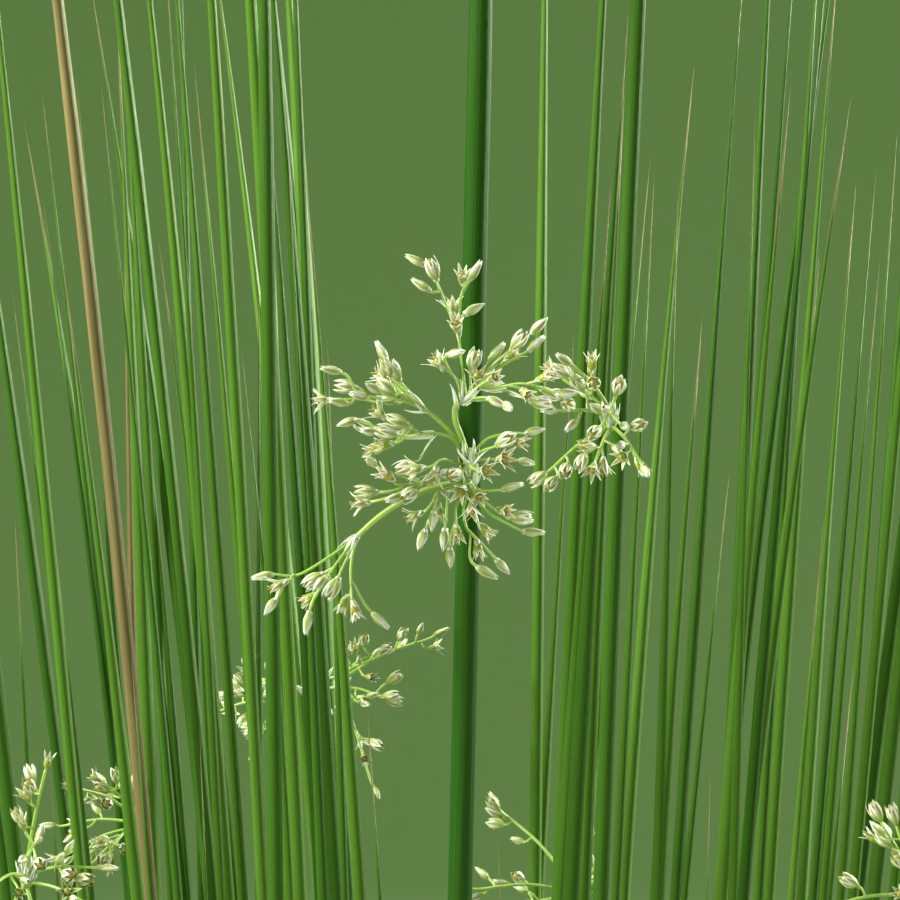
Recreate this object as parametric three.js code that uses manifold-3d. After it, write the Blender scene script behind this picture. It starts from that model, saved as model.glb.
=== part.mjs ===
// Potted soft rush (Juncus effusus): a clay pot filled with soil, out of which a clump of round green
// stems rises. Rhizomes creep at the soil's surface and carry tufts of barren stems, and single flowering
// stems stand between them, each with a spray of small flowers that breaks out of its side.
// Millimetres, Z up. The origin is the middle of the pot's underside, and the front is towards -Y.

import * as THREE from 'three';
import { mergeVertices } from 'three/addons/utils/BufferGeometryUtils.js';
import Module from 'manifold-3d';

const wasm = await Module();
wasm.setup();

// Pot
const POT_HEIGHT = 150;
const POT_BASE_RADIUS = 60;
const POT_TOP_RADIUS = 80;
const POT_WALL = 7;
const POT_FLOOR = 10;
const RIM_HEIGHT = 28;
const RIM_OVERHANG = 6;
const POT_EDGE = 2;
const POT_SIDES = 30;

// Soil
const SOIL_BELOW_RIM = 20;
const SOIL_DOME = 5;
const SOIL_RING = 0.6;
const FIT_GAP = 0.3;
const HOLE_GAP = 0.45;

// Clump: places on a spiral, every third one taken by a flowering stem and the rest by a tuft
const CLUMP_RADIUS = 56;
const CLUMP_PLACES = 31;
const GOLDEN_TURN = 137.5;
const FLOWERING_EVERY = 3;
const FRONT_CLEARANCE = 13;
const STEM_CLEARANCE = 1.2;
const CLEARANCE_STEP = 8;
const PLANTING_DEPTH = 22;
const SEED = 20;

// Tufts
const RHIZOME = { halfLength: 8, halfWidth: 3.8, halfHeight: 3.6, sides: 5, rings: 4 };
const STEMS_PER_TUFT = 4;
const STEM_SPACING = 3.9;
const STEM_SCATTER = 1;
const STEM_ROOT = 1;
const TUFT_TWIST = 0.5;

// Stems. Those near the front stay short, so that the first spray is open to the front.
const TALLEST_STEM = 520;
const FRONT_SECTOR = { halfAngle: 42, fromRadius: 24, heights: [210, 270] };
const GROWTH = {
  tries: 60,
  twist: 0.5,
  lean: [0, 0.05],
  leanOutside: 0.1,
  arch: 0.01,
  archOutside: 0.1,
  sway: 0.03,
  shorter: [0, 130],
  shorterOutside: 40,
  thickness: [0.8, 1.05],
  sheath: [45, 80],
};
const BARREN_RADIUS = 1;
const FLOWERING_RADIUS = 1.2;
const STEM_SIDES = { flowering: 5, barren: 4, slender: 3 };
const TAPER = { foot: 1.02, loss: 0.12, tip: 4.5, end: 1.003 };
const RINGS = { middle: 0.45, upper: 0.8 };
const SHEATH_THICKNESS = 0.4;
const HEAD_SHARES = [0.66, 0.76];
const SLENDER = {
  perTuft: 3,
  radius: 0.78,
  arch: 0.3,
  height: [0.72, 1],
  spacing: 4.2,
  across: 2,
  clearance: 0.4,
  ring: 0.6,
};

// Flowers
const BUD = { length: 2.4, radius: 0.56, belly: 0.4 };
const FRUIT = { length: 2.7, radius: 0.82, belly: 0.42 };
const OPEN = {
  tepalLength: 2.7,
  tepalSpread: 40,
  valleyRadius: 0.52,
  valleyHeight: 0.75,
  cupRadius: 0.46,
  cupHeight: 0.95,
  capsuleHeight: 2,
};
const STALK = { radius: 0.35, shortest: 0.7, step: 0.6, search: 0.2 };
const BRACT = { radius: 0.45, widest: 0.45, sides: 3 };
const RAY = { sides: 3, shoulder: 0.3, foot: 1.15, loss: 0.25, root: 0.1 };
const KNOT = { across: 0.95, deep: 0.85, tall: 3, sides: 6, rings: 4 };
const FINE = { tepals: 5, budSides: 4 };
const PLAIN = { tepals: 3, budSides: 3 };

// Sprays by rule: all but the first
const SPRAY = {
  rays: 7,
  reach: [5, 14],
  spread: [22, 72],
  wander: 0.8,
  rayArch: 0.06,
  rayThickness: 0.65,
  stalkLength: [0.6, 1.8],
  splay: 0.3,
  tall: 1.8,
  startRise: 0.6,
  flowerRoom: 1.1,
  rayRoom: 0.9,
  directions: 12,
  lookAhead: 9,
  leanBias: 3,
};
const RAY_ROOM_SHARES = [0.2, 0.4, 0.7, 1];
const KINDS = ['bud', 'fruit', 'bud', 'open', 'fruit', 'fruit'];

const COLOURS = {
  pot: { color: 0xb5694a, roughness: 0.9, metalness: 0 },
  soil: { color: 0x3a2a1f, roughness: 1, metalness: 0 },
  stem: { color: 0x2f6a1c, roughness: 0.45, metalness: 0 },
  flower: { color: 0xd9dca0, roughness: 0.6, metalness: 0 },
};

const radians = THREE.MathUtils.degToRad;
const point = (x, y, z) => new THREE.Vector3(x, y, z);
const UP = point(0, 0, 1);

// A seeded row of draws, each between its two limits
function drawsFrom(seed) {
  let state = seed;
  return (low = 0, high = 1) => {
    state = (state * 1664525 + 1013904223) % 4294967296;
    return low + (high - low) * (state / 4294967296);
  };
}

// A closed geometry as a solid, with its faces pointing out
function solidOf(geometry) {
  const bare = geometry.clone();
  bare.deleteAttribute('normal');
  bare.deleteAttribute('uv');
  const merged = mergeVertices(bare, 1e-4);
  const vertices = merged.attributes.position.array;
  const corners = [];
  let volume = 0;
  const [a, b, c] = [point(), point(), point()];
  for (let i = 0; i < merged.index.count; i += 3) {
    const face = [0, 1, 2].map((k) => merged.index.getX(i + k));
    if (new Set(face).size < 3) continue;
    [a, b, c].forEach((corner, k) => corner.fromArray(vertices, 3 * face[k]));
    volume += a.dot(b.cross(c));
    corners.push(face);
  }
  if (volume < 0) corners.forEach((face) => face.reverse());
  return new wasm.Manifold(new wasm.Mesh({
    numProp: 3,
    vertProperties: Float32Array.from(vertices),
    triVerts: Uint32Array.from(corners.flat()),
  }));
}

const joined = (solids) => solids.reduce((whole, solid) => whole.add(solid));

// A rod through a row of points with a radius at each; a radius of 0 ends it in a point
function rod(points, radii, sides) {
  const last = points.length - 1;
  const outline = [new THREE.Vector2(0, 0)];
  points.forEach((_, i) => outline.push(new THREE.Vector2(1, i)));
  outline.push(new THREE.Vector2(0, last));
  const shape = new THREE.LatheGeometry(outline, sides);
  const across = [];
  let side = point(1, 0, 0);
  points.forEach((_, i) => {
    const before = points[Math.max(i - 1, 0)];
    const after = points[Math.min(i + 1, last)];
    const along = after.clone().sub(before).normalize();
    if (i === 0 && Math.abs(along.x) > 0.9) side = UP;
    side = side.clone().addScaledVector(along, -side.dot(along)).normalize();
    across.push([side, along.clone().cross(side)]);
  });
  const corners = shape.attributes.position;
  for (let i = 0; i < corners.count; i += 1) {
    const ring = Math.round(corners.getY(i));
    const [right, up] = across[ring];
    const place = points[ring].clone()
      .addScaledVector(right, corners.getX(i) * radii[ring])
      .addScaledVector(up, corners.getZ(i) * radii[ring]);
    corners.setXYZ(i, place.x, place.y, place.z);
  }
  return solidOf(shape);
}

// Pot and soil, both turned on the same axis

const outerRadius = (z) => POT_BASE_RADIUS + ((POT_TOP_RADIUS - POT_BASE_RADIUS) * z) / POT_HEIGHT;
const innerRadius = (z) => outerRadius(z) - POT_WALL;

function turned(profile) {
  const outline = profile.map(([radius, z]) => new THREE.Vector2(radius, z));
  return solidOf(new THREE.LatheGeometry(outline, POT_SIDES).rotateX(Math.PI / 2));
}

function potSolid() {
  const rimFoot = POT_HEIGHT - RIM_HEIGHT;
  const rimRadius = outerRadius(POT_HEIGHT) + RIM_OVERHANG;
  return turned([
    [0, 0],
    [POT_BASE_RADIUS - POT_EDGE, 0],
    [POT_BASE_RADIUS, POT_EDGE],
    [outerRadius(rimFoot), rimFoot],
    [outerRadius(rimFoot) + RIM_OVERHANG, rimFoot + POT_EDGE],
    [rimRadius, POT_HEIGHT - POT_EDGE],
    [rimRadius - POT_EDGE, POT_HEIGHT],
    [innerRadius(POT_HEIGHT) + POT_EDGE, POT_HEIGHT],
    [innerRadius(POT_HEIGHT), POT_HEIGHT - POT_EDGE],
    [innerRadius(POT_FLOOR), POT_FLOOR + POT_EDGE],
    [innerRadius(POT_FLOOR) - POT_EDGE, POT_FLOOR],
    [0, POT_FLOOR],
  ]);
}

const SOIL_EDGE = POT_HEIGHT - SOIL_BELOW_RIM;
const SOIL_RADIUS = innerRadius(SOIL_EDGE) - FIT_GAP;
const soilHeight = (radius) => SOIL_EDGE + SOIL_DOME * (1 - (radius / SOIL_RADIUS) ** 2);

function soilSolid(holes) {
  const foot = POT_FLOOR + FIT_GAP;
  const block = turned([
    [0, foot],
    [innerRadius(POT_FLOOR) - POT_EDGE - FIT_GAP, foot],
    [innerRadius(POT_FLOOR) - FIT_GAP, foot + POT_EDGE],
    [SOIL_RADIUS, SOIL_EDGE],
    [SOIL_RING * SOIL_RADIUS, soilHeight(SOIL_RING * SOIL_RADIUS)],
    [0, soilHeight(0)],
  ]);
  return holes.reduce((soil, hole) => soil.subtract(hole), block);
}

// Stems. A stem is a plan: where it stands, how tall it is, and how it leans, arches and sways on the
// way up. Its centreline is a formula of the height.

function stemAt(stem, z) {
  const rise = (z - stem.z) / stem.height;
  const out = stem.height * (stem.lean * rise + stem.arch * rise * rise * rise);
  const aside = stem.height * stem.sway * rise * rise;
  const [cos, sin] = [Math.cos(stem.azimuth), Math.sin(stem.azimuth)];
  return point(stem.x + out * cos - aside * sin, stem.y + out * sin + aside * cos, z);
}

// Full at the foot, a little thinner half-way up, drawn out to a sharp tip
const stemRadius = (stem, rise) => (
  stem.radius * Math.min(TAPER.foot - TAPER.loss * rise, TAPER.tip * (TAPER.end - rise))
);

function stemRod(stem, rises, sheathThickness, sides) {
  const points = rises.map((rise) => stemAt(stem, stem.z + rise * stem.height));
  const radii = rises.map((rise) => (rise < 1 ? stemRadius(stem, rise) : 0));
  radii[0] += sheathThickness;
  return rod(points, radii, sides);
}

// A flowering stem has a ring where its spray breaks out, and one half-way from there to its tip
function stemSolid(stem) {
  const spray = stem.head / stem.height;
  const upper = stem.head ? [spray, (spray + 1) / 2] : [RINGS.upper];
  const rises = [0, stem.sheath / stem.height, RINGS.middle, ...upper, 1];
  return stemRod(stem, rises, SHEATH_THICKNESS, STEM_SIDES[stem.head ? 'flowering' : 'barren']);
}

const slenderSolid = (stem) => stemRod(stem, [0, SLENDER.ring, 1], 0, STEM_SIDES.slender);

function stemHole(stem) {
  const top = stem.z + PLANTING_DEPTH + 2 * SOIL_DOME;
  const points = [stem.z - FIT_GAP, top].map((z) => stemAt(stem, z));
  const radius = stem.radius + SHEATH_THICKNESS + HOLE_GAP;
  return rod(points, [radius, radius], STEM_SIDES.flowering);
}

// Whether two stems keep clear of each other at every height that both reach
function stemsClear(a, b, clearance) {
  const room = a.radius + b.radius + clearance;
  const top = Math.min(a.z + a.height, b.z + b.height);
  for (let z = SOIL_EDGE + SOIL_DOME + RHIZOME.halfHeight; z < top; z += CLEARANCE_STEP) {
    if (stemAt(a, z).distanceTo(stemAt(b, z)) < room) return false;
  }
  return true;
}

const roomAt = (place, stems) => Math.min(...stems.map((stem) => (
  place.z < stem.z + stem.height ? place.distanceTo(stemAt(stem, place.z)) - stem.radius : Infinity
)));

// Three tall flowering stems stand at the front. head is the height of a stem's spray above its foot;
// facing is the way that its spray hangs, where that is set, and sprayShare the spray's size.
const FRONT_STEMS = [
  { x: -8, y: -46, height: 527, azimuth: radians(-76), lean: 0.0875, arch: 0.005, radius: 1.42,
    sheath: 84, head: 377 },
  { x: 6, y: -36, height: 540, azimuth: radians(-57.4), lean: 0.048, arch: 0.017, radius: 0.95,
    sheath: 72, head: 381, facing: radians(-125), sprayShare: 0.75 },
  { x: -19, y: -38, height: 515, azimuth: radians(-103), lean: 0.041, arch: 0.004, radius: 0.95,
    sheath: 78, head: 446 },
].map((stem) => ({ ...stem, sway: 0, z: soilHeight(Math.hypot(stem.x, stem.y)) - PLANTING_DEPTH }));

// Space kept free of stems round the first spray, in front of it and straight behind it
const FIRST_HEAD = stemAt(FRONT_STEMS[0], FRONT_STEMS[0].z + FRONT_STEMS[0].head);
const SPRAY_ROOM = { x: 23, y: 14, z: 25 };
const FRONT_ROOM = { halfWidth: 48, halfHeight: 60, back: 4, step: 6 };
const GAP_BEHIND = 9;

function entersSprayRoom(stem) {
  const top = Math.min(stem.z + stem.height, FIRST_HEAD.z + FRONT_ROOM.halfHeight);
  for (let z = FIRST_HEAD.z - FRONT_ROOM.halfHeight; z < top; z += FRONT_ROOM.step) {
    const { x, y, z: above } = stemAt(stem, z).sub(FIRST_HEAD);
    if (Math.abs(x) < (y < FRONT_ROOM.back ? FRONT_ROOM.halfWidth : GAP_BEHIND)) return true;
    if (Math.hypot(x / SPRAY_ROOM.x, y / SPRAY_ROOM.y, above / SPRAY_ROOM.z) < 1) return true;
  }
  return false;
}

// One stem by rule: it leans away from the middle of the clump, the more the further out it stands
function drawStem(x, y, z, draw, fullRadius) {
  const radius = Math.hypot(x, y);
  const outward = Math.atan2(y, x);
  const share = radius / CLUMP_RADIUS;
  const offFront = Math.abs(outward + Math.PI / 2);
  const frontal = offFront < radians(FRONT_SECTOR.halfAngle) && radius > FRONT_SECTOR.fromRadius;
  return {
    x,
    y,
    z,
    azimuth: outward + draw(-GROWTH.twist, GROWTH.twist),
    lean: GROWTH.leanOutside * share + draw(...GROWTH.lean),
    arch: GROWTH.arch + GROWTH.archOutside * share * draw(),
    sway: draw(-GROWTH.sway, GROWTH.sway),
    height: frontal
      ? draw(...FRONT_SECTOR.heights)
      : TALLEST_STEM - GROWTH.shorterOutside * share - draw(...GROWTH.shorter),
    radius: fullRadius * draw(...GROWTH.thickness),
    sheath: draw(...GROWTH.sheath),
  };
}

// A stem that would cross one already standing, or the first spray, is drawn anew
function growStem(drawOne, clearance, standing) {
  let stem;
  for (let attempt = 0; attempt < GROWTH.tries; attempt += 1) {
    stem = drawOne();
    if (!entersSprayRoom(stem) && standing.every((other) => stemsClear(stem, other, clearance))) break;
  }
  return stem;
}

// The stems of a tuft stand in a row along its rhizome
function growTuft(x, y, turn, draw, standing) {
  const ground = soilHeight(Math.hypot(x, y));
  const tuft = { x, y, ground, turn: turn + draw(-TUFT_TWIST, TUFT_TWIST), stems: [], slender: [] };
  for (let k = 0; k < STEMS_PER_TUFT; k += 1) {
    const along = (k - (STEMS_PER_TUFT - 1) / 2) * STEM_SPACING;
    const place = point(x, y, ground - STEM_ROOT)
      .add(point(along, draw(-STEM_SCATTER, STEM_SCATTER), 0).applyAxisAngle(UP, tuft.turn));
    tuft.stems.push(growStem(() => drawStem(...place, draw, BARREN_RADIUS), STEM_CLEARANCE, standing));
  }
  return tuft;
}

// Slender stems are straighter and stand beside the row, on its two sides by turns
function growSlender(tuft, k, draw, standing) {
  const along = (k - (SLENDER.perTuft - 1) / 2) * SLENDER.spacing;
  const place = point(tuft.x, tuft.y, tuft.ground - STEM_ROOT)
    .add(point(along, SLENDER.across * (-1) ** k, 0).applyAxisAngle(UP, tuft.turn));
  const drawOne = () => {
    const stem = drawStem(...place, draw, SLENDER.radius);
    return { ...stem, arch: stem.arch * SLENDER.arch, height: stem.height * draw(...SLENDER.height) };
  };
  return growStem(drawOne, SLENDER.clearance, standing);
}

function growClump() {
  const draw = drawsFrom(SEED);
  const flowering = [...FRONT_STEMS];
  const tufts = [];
  const standing = [...FRONT_STEMS];
  for (let i = 0; i < CLUMP_PLACES; i += 1) {
    const radius = CLUMP_RADIUS * Math.sqrt((i + 0.5) / CLUMP_PLACES);
    const turn = radians(GOLDEN_TURN * i);
    const [x, y] = [radius * Math.cos(turn), radius * Math.sin(turn)];
    if (FRONT_STEMS.some((stem) => Math.hypot(stem.x - x, stem.y - y) < FRONT_CLEARANCE)) continue;
    if (i % FLOWERING_EVERY === 0) {
      const foot = soilHeight(radius) - PLANTING_DEPTH;
      const drawOne = () => drawStem(x, y, foot, draw, FLOWERING_RADIUS);
      const stem = growStem(drawOne, STEM_CLEARANCE, standing);
      stem.head = stem.height * draw(...HEAD_SHARES);
      flowering.push(stem);
      standing.push(stem);
    } else {
      const tuft = growTuft(x, y, turn, draw, standing);
      tufts.push(tuft);
      standing.push(...tuft.stems);
    }
  }
  const slenderDraw = drawsFrom(SEED + 3);
  tufts.forEach((tuft) => {
    for (let k = 0; k < SLENDER.perTuft; k += 1) {
      tuft.slender.push(growSlender(tuft, k, slenderDraw, standing));
      standing.push(tuft.slender.at(-1));
    }
  });
  return { flowering, tufts, standing };
}

// Rhizomes lie half in the soil, each in a plain six-sided pocket that is open at the top

function rhizomeSolid(tuft) {
  const shape = new THREE.SphereGeometry(1, RHIZOME.sides, RHIZOME.rings)
    .rotateZ(Math.PI / 2)
    .scale(RHIZOME.halfLength, RHIZOME.halfWidth, RHIZOME.halfHeight);
  return solidOf(shape.rotateZ(tuft.turn).translate(tuft.x, tuft.y, tuft.ground));
}

function rhizomeHole(tuft) {
  const sides = 6;
  const radius = 1 / Math.cos(Math.PI / sides);
  const depth = RHIZOME.halfHeight + HOLE_GAP + SOIL_DOME;
  const shape = new THREE.CylinderGeometry(radius, radius, depth, sides)
    .rotateX(Math.PI / 2)
    .scale(RHIZOME.halfLength + HOLE_GAP, RHIZOME.halfWidth + HOLE_GAP, 1);
  return solidOf(shape.rotateZ(tuft.turn).translate(tuft.x, tuft.y, tuft.ground + SOIL_DOME - depth / 2));
}

const tuftSolid = (tuft) => joined([
  rhizomeSolid(tuft),
  ...tuft.stems.map(stemSolid),
  ...tuft.slender.map(slenderSolid),
]);

// Flowers. A flower plan has a kind, a base, the way it points and the start of its stalk on the ray.
// Every branch starts as a point well inside what it grows from.

// A bud or a ripe flower goes on from its base with a belly and a pointed tip
function budEnd(flower) {
  const { length, radius, belly } = flower.kind === 'bud' ? BUD : FRUIT;
  const points = [belly * length, length].map((far) => flower.base.clone().addScaledVector(flower.way, far));
  return { points, radii: [radius, 0] };
}

// An open flower: the tepals are the points of a star, and the capsule stands up from inside them
function openFlower(flower, foot, tepals) {
  const outline = [[0, -1], [2, 0], [1, OPEN.cupHeight], [0, OPEN.capsuleHeight]];
  const shape = new THREE.LatheGeometry(outline.map(([x, y]) => new THREE.Vector2(x, y)), 2 * tepals);
  const spread = radians(OPEN.tepalSpread);
  const tip = [OPEN.tepalLength * Math.sin(spread), OPEN.tepalLength * Math.cos(spread)];
  const valley = [OPEN.valleyRadius, OPEN.valleyHeight];
  const turn = new THREE.Quaternion().setFromUnitVectors(point(0, 1, 0), flower.way);
  const corners = shape.attributes.position;
  for (let i = 0; i < corners.count; i += 1) {
    const [x, y, z] = [corners.getX(i), corners.getY(i), corners.getZ(i)];
    const ring = Math.round(Math.hypot(x, z));
    const onTepal = Math.round((Math.atan2(x, z) * tepals) / Math.PI) % 2 === 0;
    const [radius, height] = [[0, y], [OPEN.cupRadius, y], onTepal ? tip : valley][ring];
    const share = ring ? radius / ring : 0;
    const place = point(x * share, height, z * share).applyQuaternion(turn).add(flower.base);
    if (y < 0) place.copy(foot);
    corners.setXYZ(i, ...place);
  }
  return solidOf(shape);
}

function flowerSolid(flower, detail) {
  if (flower.kind === 'open') return openFlower(flower, flower.start, detail.tepals);
  const bud = budEnd(flower);
  return rod([flower.start, ...bud.points], [0, ...bud.radii], detail.budSides);
}

const bractSolid = ([from, to]) => rod(
  [from, from.clone().lerp(to, BRACT.widest), to],
  [0, BRACT.radius, 0],
  BRACT.sides,
);

// A ray runs into the flower at its end, and its other flowers stand along it
function raySolids(ray, detail) {
  const { points, thickness, end, flowers, bracts } = ray;
  const shoulder = points[0].clone().lerp(points[1], RAY.shoulder);
  const path = [points[0], shoulder, ...points.slice(1)];
  const share = (i) => RAY.foot - (RAY.loss * i) / (path.length - 1);
  const radii = path.map((_, i) => (i === 0 ? 0 : (thickness / 2) * share(i)));
  const solids = [...flowers.map((flower) => flowerSolid(flower, detail)), ...bracts.map(bractSolid)];
  if (end && end.kind === 'open') {
    const foot = points.at(-1).clone().lerp(points.at(-2), RAY.root);
    solids.push(openFlower(end, foot, detail.tepals));
  } else if (end) {
    const bud = budEnd(end);
    if (points.at(-1).distanceTo(end.base) > STALK.shortest) {
      path.push(end.base);
      radii.push(STALK.radius);
    }
    path.push(...bud.points);
    radii.push(...bud.radii);
  }
  return [rod(path, radii, RAY.sides), ...solids];
}

// The place at a distance along a row of points
function placeAlong(points, far) {
  let left = Math.max(far, 0);
  for (let i = 1; i < points.length; i += 1) {
    const length = points[i].distanceTo(points[i - 1]);
    if (left <= length) return points[i - 1].clone().lerp(points[i], left / length);
    left -= length;
  }
  return points.at(-1).clone();
}

// Where a stalk leaves a ray: nearest to its flower, and further back for each flower that came before
function stalkStart(base, points, rank) {
  const whole = points.slice(1).reduce((sum, next, i) => sum + next.distanceTo(points[i]), 0);
  const away = (far) => placeAlong(points, far).distanceTo(base);
  let best = 0;
  for (let far = 0; far <= whole; far += STALK.search) {
    if (away(far) < away(best)) best = far;
  }
  return placeAlong(points, best - STALK.step * (rank + 1));
}

// The first spray, ray by ray. Places are millimetres from the stem's axis where the spray breaks out:
// right, back, up. A flower has its kind, its base, the heading of its tip in the upright plane (0 to the
// right, 90 up) and how far that tip is turned to the front. A bract runs from one place to another.
const FIRST_SPRAY = [
  {
    path: [[-0.3, -2.4, 1.2], [-0.8, -2.7, 2.8], [-1.4, -3.1, 4.5], [-1.4, -3.5, 6], [-0.6, -3.8, 6.5]],
    thickness: 0.78,
    flowers: [],
    bracts: [[[-1.1, -3.5, 5.9], [-1.9, -5.2, 8.2]], [[-0.4, -3.9, 6.2], [0.9, -5.9, 8]]],
  },
  {
    path: [[-0.6, -3.8, 6.5], [-1.2, -4.2, 8.7], [-2.2, -4.6, 9.8]],
    thickness: 0.6,
    flowers: [['open', -2.6, -4.8, 9.9, 128, 10], ['bud', -2.3, -5.8, 11.4, 15, 40]],
    bracts: [],
  },
  {
    path: [[-0.5, -3.7, 6.5], [-0.5, -4.4, 8.5], [-0.9, -5, 12.2], [-1.1, -5.4, 14]],
    thickness: 0.6,
    flowers: [['open', -1.2, -6, 14, 100, 55], ['bud', -0.4, -5, 15.9, 28, 0],
      ['open', -1.6, -4.2, 15.7, 100, 0]],
    bracts: [],
  },
  {
    path: [[-1.1, -5.3, 13.8], [-2.3, -6.2, 16.6], [-3.3, -6.6, 19.1]],
    thickness: 0.6,
    flowers: [['bud', -4.1, -7.2, 18.3, 147, 0], ['fruit', -3.4, -6.6, 19.4, 109, 0],
      ['bud', -4.7, -6.2, 21.1, 152, 0]],
    bracts: [],
  },
  {
    path: [[-1, -5.3, 13.6], [-0.9, -6.4, 17.2], [-0.5, -6.6, 18.7]],
    thickness: 0.6,
    flowers: [['open', -0.6, -7, 19, 95, 45], ['bud', 0.1, -6.2, 19.5, 59, 0]],
    bracts: [],
  },
  {
    path: [[-0.6, -3.8, 6.3], [0.1, -4.3, 7.6], [0.6, -4.6, 8.4]],
    thickness: 0.6,
    flowers: [['fruit', 0.3, -3.9, 9.9, 76, 35], ['open', 0.9, -5, 8.4, 85, 40],
      ['open', 2.2, -7.2, 8.8, 24, 60]],
    bracts: [],
  },
  {
    path: [[-0.4, -3.7, 6.4], [1.2, -4.4, 8.8], [2.6, -5.4, 10.4], [4.5, -6.2, 12], [6.4, -6.9, 13.5]],
    thickness: 0.6,
    flowers: [['bud', 2.3, -4.6, 11, 49, 0], ['fruit', 4.6, -7.3, 12.1, 50, 15],
      ['bud', 6.7, -6.9, 13.8, 43, 0]],
    bracts: [],
  },
  {
    path: [[1.1, -4.3, 8.7], [3.8, -4.1, 10.5], [6.3, -4.3, 11.9]],
    thickness: 0.6,
    flowers: [['open', 3.9, -3.3, 10.9, 34, 0], ['bud', 6.5, -4.3, 12, 43, 0]],
    bracts: [],
  },
  {
    path: [[-0.4, -3.8, 6.2], [1.1, -5, 8.1], [2.9, -5.9, 8], [5.4, -7, 8.4], [7.2, -7.3, 8.1],
      [9.2, -7.4, 7.4]],
    thickness: 0.6,
    flowers: [['open', 5.6, -8, 7.8, -40, 50], ['open', 7.3, -8.1, 8.7, 22, 30],
      ['bud', 7.7, -6.5, 7.9, -29, 0], ['bud', 9.5, -7.4, 7.3, 3, 20]],
    bracts: [],
  },
  {
    path: [[1.2, -5, 8], [3.3, -4.8, 7.8], [4.7, -4.4, 7.5], [6.3, -4.2, 6.7]],
    thickness: 0.6,
    flowers: [['fruit', 6.5, -4.2, 6.5, -3, 0]],
    bracts: [[[4.4, -4.5, 7.5], [5.8, -5.4, 6.9]]],
  },
  {
    path: [[-0.6, -3.8, 6.2], [1, -5.6, 6.9]],
    thickness: 0.6,
    flowers: [['bud', 2.1, -6.9, 6.9, -27, 15], ['bud', 3.8, -7, 6.3, -45, 60]],
    bracts: [],
  },
  {
    path: [[-0.4, -2.3, 1.2], [-1.1, -2.5, 2.4], [-3.3, -2.8, 4.6], [-4.7, -3, 5.6], [-7.2, -3.2, 7.2]],
    thickness: 0.72,
    flowers: [['bud', -8.8, -3.6, 10.9, 118, 0], ['fruit', -7.4, -4.2, 8.8, 119, 20],
      ['open', -8.5, -1.8, 8.6, 141, 0], ['fruit', -8.3, -6, 9.3, 120, 35],
      ['fruit', -7.8, -3.6, 7.2, 143, 0], ['bud', -7.7, -2, 6.4, 165, 0],
      ['bud', -9.6, -5.6, 7.6, 150, 45]],
    bracts: [[[-4.7, -3, 5.6], [-6.4, -4, 7.6]], [[-4.3, -3, 5.3], [-6.7, -2.2, 5.6]]],
  },
  {
    path: [[-7, -3.2, 7.2], [-9.2, -3, 6.4], [-11.5, -2.8, 6.8], [-13, -2.6, 6.8], [-14.5, -2.5, 6.7]],
    thickness: 0.6,
    flowers: [['bud', -13.8, -4, 9.7, 168, 25], ['fruit', -12, -2.6, 8, 173, 0],
      ['bud', -10.9, -3.8, 7.1, 172, 45], ['bud', -13, -3.6, 6.3, 170, 30],
      ['open', -14.8, -2.4, 6.7, 182, 0]],
    bracts: [],
  },
  {
    path: [[-0.7, -2.4, 1.2], [-1.8, -3.4, 2.6], [-3.6, -4.6, 3.1], [-5.4, -4.9, 3.2],
      [-8.4, -4.8, 4.4]],
    thickness: 0.62,
    flowers: [['fruit', -6.4, -6.2, 4, 165, 0], ['open', -8.8, -4.8, 4.6, 140, 0],
      ['fruit', -7.6, -8.1, 2.9, 163, 20], ['open', -8, -6.6, 2, 185, 20],
      ['open', -9.2, -4.4, 1.4, 190, 0]],
    bracts: [[[-3.6, -4.6, 3.1], [-6.9, -4.2, 2.5]]],
  },
  {
    path: [[-5.4, -4.9, 3.1], [-8.6, -3.6, 3.4], [-12, -3.2, 4.5]],
    thickness: 0.6,
    flowers: [['bud', -12.1, -3.2, 4.6, 198, 0], ['fruit', -10, -2.6, 3.4, 161, 0],
      ['bud', -9.9, -5.8, 3.2, 173, 45]],
    bracts: [],
  },
  {
    path: [[-3.6, -4.5, 2.9], [-4.5, -4.9, 1.3], [-5.3, -5.1, 0.1]],
    thickness: 0.6,
    flowers: [['fruit', -5.4, -5.1, -0.1, 197, 0]],
    bracts: [],
  },
  {
    path: [[-0.6, -2.6, -0.3], [-2.2, -4.6, 0.2], [-2.7, -5.8, 0.3], [-3.4, -6.6, 0]],
    thickness: 0.6,
    flowers: [['open', -4.6, -7.8, -0.6, 187, 0], ['open', -3.4, -6.4, -0.5, -110, 10]],
    bracts: [],
  },
  {
    path: [[-0.4, -2.6, -1.2], [-3.3, -4.2, -1.8], [-5.3, -5.6, -2.2], [-7.6, -6.4, -2.4]],
    thickness: 0.6,
    flowers: [['fruit', -5.4, -6.6, -2.8, 215, 35], ['open', -7.9, -6.6, -1.9, 150, 25],
      ['bud', -10, -5.2, -0.3, 139, 60], ['bud', -7.2, -7.4, -3.7, 193, 50],
      ['fruit', -9.7, -8.2, -3.2, 178, 0], ['open', -10.6, -5.8, -4.3, 188, 0]],
    bracts: [[[-5.1, -5.4, -2.1], [-7, -4.6, -1.1]]],
  },
  {
    path: [[-0.4, -2.4, -2], [-4.1, -2.8, -2.9], [-6.5, -3.1, -3.9], [-9.5, -3.3, -5.8],
      [-12, -3.4, -8]],
    thickness: 0.8,
    flowers: [],
    bracts: [],
  },
  {
    path: [[-11.9, -3.4, -7.9], [-14.1, -3.5, -9.6], [-18.2, -3.6, -12.1], [-20.7, -3.6, -12.1]],
    thickness: 0.6,
    flowers: [['bud', -21, -3.6, -12.1, 190, 0], ['open', -19.5, -4.8, -12.8, 205, 0],
      ['bud', -20.7, -2.8, -14.7, 234, 0]],
    bracts: [],
  },
  {
    path: [[-11.9, -3.4, -7.9], [-14.1, -4.6, -10.8], [-16.2, -5.2, -13.9]],
    thickness: 0.6,
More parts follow.
